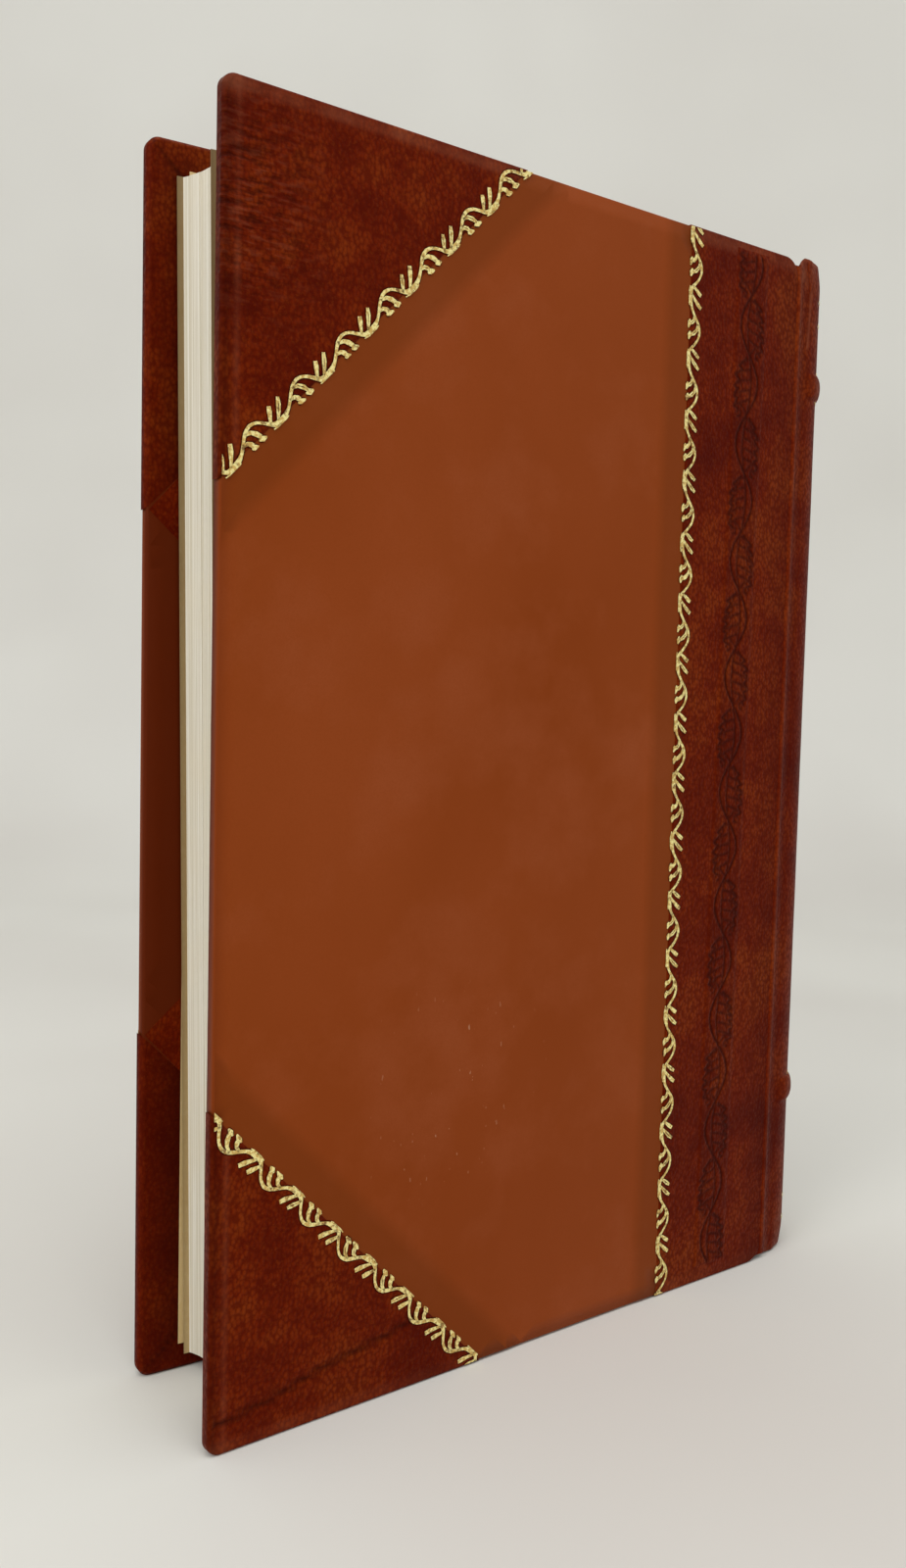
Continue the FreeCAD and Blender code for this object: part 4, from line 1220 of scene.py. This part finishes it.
    def rolls(self) -> None:
        """Lay the three gold rolls beside the siding's edges."""
        root = math.sqrt(2.0)
        lift = self.leather_level + 0.1
        foot = self.roll_margin / root
        tail = self.tail_leg - self.roll_inset * root
        head = self.head_leg - self.head_inset * root
        runs = {
            "spine": (self.strip_width - self.roll_inset, COVER_HEIGHT - self.roll_margin, -90.0, COVER_HEIGHT),
            "tail": (COVER_REACH - tail + foot, foot, 45.0, tail * root),
            "head": (COVER_REACH - foot, COVER_HEIGHT - head + foot, 135.0, head * root),
        }
        for index, (end, (x, y, angle, length)) in enumerate(runs.items()):
            turn = Matrix.Rotation(math.radians(angle), 4, "Z")
            node = "%s_gold_roll_%s" % (self.side, end)
            vine = Vine(seed=7 + index, open_share=0.5 if end == "spine" else 0.35)
            for spread, depth in ((0.0, 0.0), (self.bed_spread, self.bed_depth)):
                shape = vine.build(length - 2 * self.roll_margin, spread)
                spot = Matrix.Translation((x, y, lift - depth))
                bmesh.ops.transform(shape, matrix=spot @ turn, verts=shape.verts)
                self.trim(shape)
                if not spread:
                    self.lay(shape, node + "_vine", Slot.GOLD, (node,), 30.0)
                    continue
                # The bed: leather darkened round the gold, for the tool's burn and for painted shadow of the
                # impression.
                painted_shade, = layers(shape, "painted_shade")
                for vert in shape.verts:
                    vert[painted_shade] = 0.8
                self.lay(shape, node + "_bed", Slot.LEATHER)

    def trim(self, shape: Shape) -> None:
        """Cut a roll off where the cover's edges start to turn over.

        Args:
            shape: The roll in the cover's own millimetres.
        """
        cut_off(shape, (COVER_REACH - self.roll_margin, 0, 0), (1, 0, 0), 1e-4)
        cut_off(shape, (0, self.roll_margin, 0), (0, -1, 0), 1e-4)
        cut_off(shape, (0, COVER_HEIGHT - self.roll_margin, 0), (0, 1, 0), 1e-4)

    def blind_roll(self) -> None:
        """Press the leafy band into the strip beside the joint."""
        self.lay(BlindRoll().build(self.leather_level), self.side + "_blind_roll", Slot.LEATHER, (), 60.0)


@dataclass
class TextBlock:
    """The sewn pages in gatherings, with endpapers, lining and endbands."""

    shop: Workshop
    low_y: float = -1.188
    thickness: float = 15.8
    fore_x: float = -76.72
    gatherings: int = 11
    slit: float = 0.03
    seed: int = 5

    def build(self) -> None:
        """Make every piece of the text block."""
        self.pages()
        for name in ("front_flyleaf", "back_flyleaf"):
            shape = self.shop.copy_node(name)
            cut_net(shape, Vector((self.fore_x, 0, 0)) * MM, Vector((1, 0, 0)), (2.0 * MM, 4.0 * MM, 6.0 * MM))
            painted_shade, = layers(shape, "painted_shade")
            for vert in shape.verts:
                # Painted shade on the flyleaves, deepest at the fore edge, in the gap between the covers.
                vert[painted_shade] = 0.8 * ease(1.0 - (vert.co.x / MM - self.fore_x) / 6.0)
            self.shop.settle(shape, name + "_paper", Slot.ENDPAPER, Body.BLOCK, (name,), 30.0)
        self.shop.dress_node("spine_lining", Slot.MULL)
        self.shop.dress_node("spine_card", Slot.CARD)
        for end in ("head", "tail"):
            name = end + "_endband"
            self.shop.settle(self.shop.copy_node(name), name + "_silk", Slot.ENDBAND, Body.BLOCK, (name,), 60.0)

    def pages(self) -> None:
        """Cut the block into gatherings that stand a hair apart."""
        chance = random.Random(self.seed)
        block = bmesh.new()
        step = self.thickness / self.gatherings
        last = self.gatherings - 1
        for index in range(self.gatherings):
            part = self.shop.copy_node("text_block")
            start = self.low_y + index * step
            low = start + (self.slit if index else -1.0)
            high = start + step - (self.slit if index < last else -1.0)
            cut_off(part, (0, low * MM, 0), (0, -1.0, 0), 1e-7)
            cut_off(part, (0, high * MM, 0), (0, 1.0, 0), 1e-7)
            slip = Vector((chance.uniform(0.0, 0.2), 0.0, chance.uniform(-0.04, 0.0))) * MM
            bmesh.ops.translate(part, vec=slip, verts=part.verts)
            data = bpy.data.meshes.new("gathering")
            part.to_mesh(data)
            part.free()
            block.from_mesh(data)
            bpy.data.meshes.remove(data)
        self.shop.settle(block, "text_block_gatherings", Slot.PAGES, Body.BLOCK, ("text_block",), 30.0)


@dataclass
class Spine:
    """Leather over the spine with two raised bands, gold lines and the joints' ridges."""

    shop: Workshop
    centre_in: float = 4.7
    radius: float = 9.75
    outer: float = 11.55
    gap: float = 0.3
    low: float = 0.3
    high: float = 240.5
    bands: tuple[float, float] = (40.7, 211.5)
    band_half: float = 3.0
    proud: float = 1.0
    pair_lines: tuple[float, ...] = (7.2, 12.7, 226.3, 231.8)
    shoulder: float = 0.22
    columns: int = 84
    spacing: float = 0.9
    folded_in: float = 10.0
    ridge_foot: float = 1.3
    ridge_head: float = 1.5
    ridge_sides: Point = (0.95, 2.3)
    ridge_level: float = -0.32
    ridge_rise: Point = (0.12, 0.32)
    ridge_thickness: float = 0.12
    thickness: float = 0.25
    cap_drop: float = 2.4
    cap_lift: float = 1.2
    fold_levels: Point = (220.0, 233.4)
    fold_shares: Point = (0.1217, 0.14)

    def build(self) -> None:
        """Make the spine's pieces."""
        self.leather()
        name = "spine_gold_lines"
        self.shop.settle(self.shop.copy_node(name), name + "_leaf", Slot.GOLD, Body.BLOCK, (name,), 40.0)
        for body in (Body.BACK, Body.FRONT):
            self.ridge(body)

    def profile(self, share: float) -> tuple[Vector, Vector, float]:
        """Point on the spine's outer plan.

        Args:
            share: From 0 at the back joint to 1 at the front joint.

        Returns:
            The point, its outward way and how far it is on the round back, from 0 to 1.
        """
        side = -1.0 if share < 0.5 else 1.0
        depth = min(share, 1.0 - share) / 0.5
        if depth < self.shoulder:
            run = self.centre_in - self.gap
            hollow = (self.outer ** 2 + run ** 2 - self.radius ** 2) / (2.0 * (self.outer - self.radius))
            reach = hollow - self.radius
            turn = math.asin(run / reach) * (1.0 - depth / self.shoulder)
            point = Vector((self.centre_in - reach * math.sin(turn), side * (hollow - reach * math.cos(turn)), 0.0))
            return point, Vector((math.sin(turn), side * math.cos(turn), 0.0)), 0.0
        turn = (depth - self.shoulder) / (1.0 - self.shoulder) * math.pi / 2.0
        way = Vector((math.sin(turn), side * math.cos(turn), 0.0))
        return Vector((self.centre_in, 0.0, 0.0)) + way * self.radius, way, ease(turn / 0.35)

    def swell(self, level: float) -> float:
        """Rise of the leather over the bands, less the dents of the lines, in millimetres."""
        shares = [max(0.0, 1.0 - ((level - band) / self.band_half) ** 2) for band in self.bands]
        dents = [ease(1.0 - abs(level - line) / 0.7) for line in self.pair_lines]
        return self.proud * max(shares) ** 0.55 - 0.2 * max(dents)

    def path(self) -> list[tuple[float, float]]:
        """Way of the leather up the spine, turned in at both ends.

        Returns:
            Rise and level of each point, in millimetres.
        """
        end = [(-1.7, self.folded_in), (-1.7, self.folded_in * 0.5)]
        end += [(-0.85 - 0.85 * math.cos(angle), 0.85 - 0.85 * math.sin(angle))
                for angle in (0.0, 0.5, 1.0, 1.57, 2.1, 2.6)]
        tail = [(rise, self.low + up) for rise, up in end]
        head = [(rise, self.high - up) for rise, up in reversed(end)]
        feet = [band + side * reach for band in self.bands for side in (-1.0, 1.0) for reach in (2.1, 2.75, 3.0, 3.8)]
        plain = [level for level in steps(self.low + 0.6, self.high - 0.6, self.spacing)
                 if min(abs(level - foot) for foot in feet) > 0.3]
        return tail + [(0.0, level) for level in sorted(plain + feet)] + head

    def leather(self) -> None:
        """Mould the spine leather over bands and head caps and turn it in."""
        path = self.path()
        shape = bmesh.new()
        bmesh.ops.create_grid(shape, x_segments=self.columns, y_segments=len(path) - 1, size=0.5)
        wear_and_highlight, painted_shade = layers(shape, "wear_and_highlight", "painted_shade")
        fold_start, fold_stop = self.fold_levels
        fold_low, fold_high = self.fold_shares
        for vert in shape.verts:
            share = vert.co.x + 0.5
            rise, level = path[round((vert.co.y + 0.5) * (len(path) - 1))]
            point, way, back = self.profile(share)
            end = min(level - self.low, self.high - level)
            taper = 0.5 * (1.0 - ease(end / 6.0)) * back
            wave = 0.05 * noise.noise(Vector((point.x, point.y, level * 0.4)) * 0.22) * back
            turned_in = rise < -0.9
            lift = (rise * (0.45 + 0.4 * back) if rise < 0.0 else back * self.swell(level)) - taper + wave
            spot = point + way * lift
            sunk = 1.0 - ease(min(share, 1.0 - share) / 0.09)
            level -= self.cap_drop * sunk * ease(level / self.high * 20.0 - 19.0)
            level += self.cap_lift * sunk * ease(1.0 - level / 12.0)
            vert.co = Vector((HINGE_X + spot.x, MIDDLE_Y + spot.y, level)) * MM
            # Painted highlight on the bands' crests.
            crest = back * ease(self.swell(level) * 1.6 - 0.9) * 0.35
            patch = noise.noise(Vector((point.x, point.y, level * 0.3)) * 0.5)
            # Pale streaks near the caps: partly scuffing and partly painted highlight.
            scuff = ease(1.0 - abs(end - 4.0) / 6.0) * ease(patch * 3.0 + 0.4)
            fold = fold_low + (fold_high - fold_low) * (level - fold_start) / (fold_stop - fold_start)
            fine = ease(1.0 - abs(share - fold) / 0.016) if fold_start < level < fold_stop else 0.0
            rim = 0.45 * ease(1.0 - end / 1.2)
            # Wear at the caps' rims and painted highlight on crests, streaks and a fine line near the head.
            vert[wear_and_highlight] = 0.0 if turned_in else min(1.0, crest + rim + 0.5 * scuff + 0.8 * fine)
            # Painted shade on the turned-in leather and on the sides by the joints.
            vert[painted_shade] = 0.5 if turned_in else 0.12 * (1.0 - back)
        face_out(shape, 0)
        bmesh.ops.solidify(shape, geom=whole(shape), thickness=self.thickness * MM)
        hidden = ("spine_leather", "head_band", "tail_band")
        self.shop.settle(shape, "spine_leather_skin", Slot.LEATHER, Body.BLOCK, hidden, 70.0)

    def ridge(self, body: Body) -> None:
        """Close a joint with the thin ridge that the leather makes along it.

        Args:
            body: The cover's body.
        """
        place = cover_place(body)
        shape = bmesh.new()
        bmesh.ops.create_grid(shape, x_segments=16, y_segments=160, size=0.5)
        wear_and_highlight, = layers(shape, "wear_and_highlight")
        top = COVER_HEIGHT - self.ridge_head
        back, fore = self.ridge_sides
        least, more = self.ridge_rise
        for vert in shape.verts:
            across = vert.co.x * 2.0
            level = self.ridge_foot + (top - self.ridge_foot) * (vert.co.y + 0.5)
            settle = ease(min(level - self.ridge_foot, top - level) / 4.0)
            width = 1.0 if across < 0.0 else 2.4
            hump = math.cos(min(1.0, abs(across) * width) * math.pi / 2.0)
            spot = across * (back if across < 0.0 else fore)
            vert.co = Vector((spot, level, self.ridge_level + (least + more * settle) * hump))
            # Painted highlight along the ridge's crest.
            vert[wear_and_highlight] = 0.4 * ease(hump * 1.6 - 0.6) * (0.5 + 0.5 * noise.noise(Vector((level * 0.07, 0, 3.0))))
        face_out(shape, 2)
        bmesh.ops.solidify(shape, geom=whole(shape), thickness=self.ridge_thickness)
        place.bring(shape)
        piece = self.shop.settle(shape, body.value.split("_")[0] + "_joint_ridge", Slot.LEATHER, None, (), 60.0)
        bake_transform(piece)


@dataclass
class Studio:
    """Pale stage, soft lights and the camera."""

    floor: StageFinish = field(default_factory=StageFinish)
    level_sight: Triple = (0.5446, 0.8387, 0.0)
    half_width: float = 5.0
    near: float = -1.6
    bend_start: float = 0.55
    bend: float = 0.3
    wall: float = 3.5
    air: Colour = (1.0, 0.995, 0.985, 1.0)
    air_strength: float = 0.7
    lamp_colour: Triple = (1.0, 0.995, 0.98)
    lamp_target: Triple = (0.0, 0.0, 0.12)
    lamps: tuple[tuple[str, Triple, float, float], ...] = (
        ("overhead_soft", (-0.25, -0.45, 1.15), 0.9, 4.5),
        ("left_soft", (-1.05, -0.35, 0.7), 0.7, 3.4),
    )
    eye: Triple = (-176.1, -236.8, 137.7)
    pitch: float = math.radians(4.01)
    roll: float = math.radians(1.36)
    lens: float = 31.5

    def build(self) -> None:
        """Set up the stage, the lights, the world and the camera."""
        self.stage()
        self.world()
        self.lights()
        self.camera()

    def stage(self) -> None:
        """Floor that bends up into the wall behind the book."""
        line = [(self.near, 0.0), (self.bend_start, 0.0)]
        line += [(self.bend_start + self.bend * math.sin(turn), self.bend - self.bend * math.cos(turn))
                 for turn in (0.3, 0.6, 0.9, 1.2, 1.57)]
        line.append((self.bend_start + self.bend, self.wall))
        forward = Vector(self.level_sight)
        right = Vector((forward.y, -forward.x, 0.0))
        middles = [forward * distance + Vector((0.0, 0.0, height)) for distance, height in line]
        shape = bmesh.new()
        ends = [middles[0] + right * side for side in (-self.half_width, self.half_width)]
        edge = shape.edges.new([bmesh.ops.create_vert(shape, co=end)["vert"][0] for end in ends])
        for previous, middle in zip(middles, middles[1:]):
            grown = bmesh.ops.extrude_edge_only(shape, edges=[edge])["geom"]
            bmesh.ops.translate(shape, vec=middle - previous, verts=only(bmesh.types.BMVert, grown))
            edge = only(bmesh.types.BMEdge, grown)[0]
        mesh = bpy.data.meshes.new("paper_sweep")
        shape.to_mesh(mesh)
        shape.free()
        mesh.shade_smooth()
        mesh.materials.append(self.floor.make())
        linked("paper_sweep", mesh)
        LOG.info("stage paper_sweep set")

    def world(self) -> None:
        """Even pale light from all round."""
        world = bpy.data.worlds.new("soft_room")
        world.use_nodes = True
        background = world.node_tree.nodes["Background"]
        background.inputs["Color"].default_value = self.air
        background.inputs["Strength"].default_value = self.air_strength
        bpy.context.scene.world = world

    def lights(self) -> None:
        """Large soft lights over and before the book."""
        for name, spot, size, power in self.lamps:
            data = bpy.data.lights.new(name, "AREA")
            data.shape = "DISK"
            data.size = size
            data.energy = power
            data.color = self.lamp_colour
            light = linked(name, data)
            light.location = spot
            light.rotation_euler = (Vector(self.lamp_target) - Vector(spot)).to_track_quat("-Z", "Y").to_euler()

    def camera(self) -> None:
        """Camera at the photograph's place, turned a little about its line of sight."""
        upright = Vector((0.0, 0.0, 1.0))
        level = Vector(self.level_sight).normalized()
        sight = level * math.cos(self.pitch) - upright * math.sin(self.pitch)
        right = sight.cross(upright).normalized()
        up = right.cross(sight)
        across = right * math.cos(self.roll) + up * math.sin(self.roll)
        above = up * math.cos(self.roll) - right * math.sin(self.roll)
        data = bpy.data.cameras.new("camera")
        data.lens = self.lens
        data.sensor_width = 36.0
        data.clip_start = 0.01
        data.clip_end = 20.0
        camera = linked("camera", data)
        turned = Matrix((across, above, -sight)).transposed().to_4x4()
        camera.matrix_world = Matrix.Translation(Vector(self.eye) * MM) @ turned
        scene = bpy.context.scene
        scene.camera = camera
        scene.view_settings.view_transform = "Standard"


def main() -> None:
    """Build every sub-assembly."""
    logging.basicConfig(level=logging.INFO, format="%(name)s: %(message)s")
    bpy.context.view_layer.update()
    shop = Workshop()
    shop.prepare()
    TextBlock(shop).build()
    Spine(shop).build()
    Cover(shop, cover_place(Body.BACK), tail_leg=62.5, head_leg=67.0).build()
    Cover(shop, cover_place(Body.FRONT), tail_leg=69.0, head_leg=69.0).build()
    Studio().build()
    LOG.info("%d new pieces", shop.made)


if __name__ == "__main__":
    main()
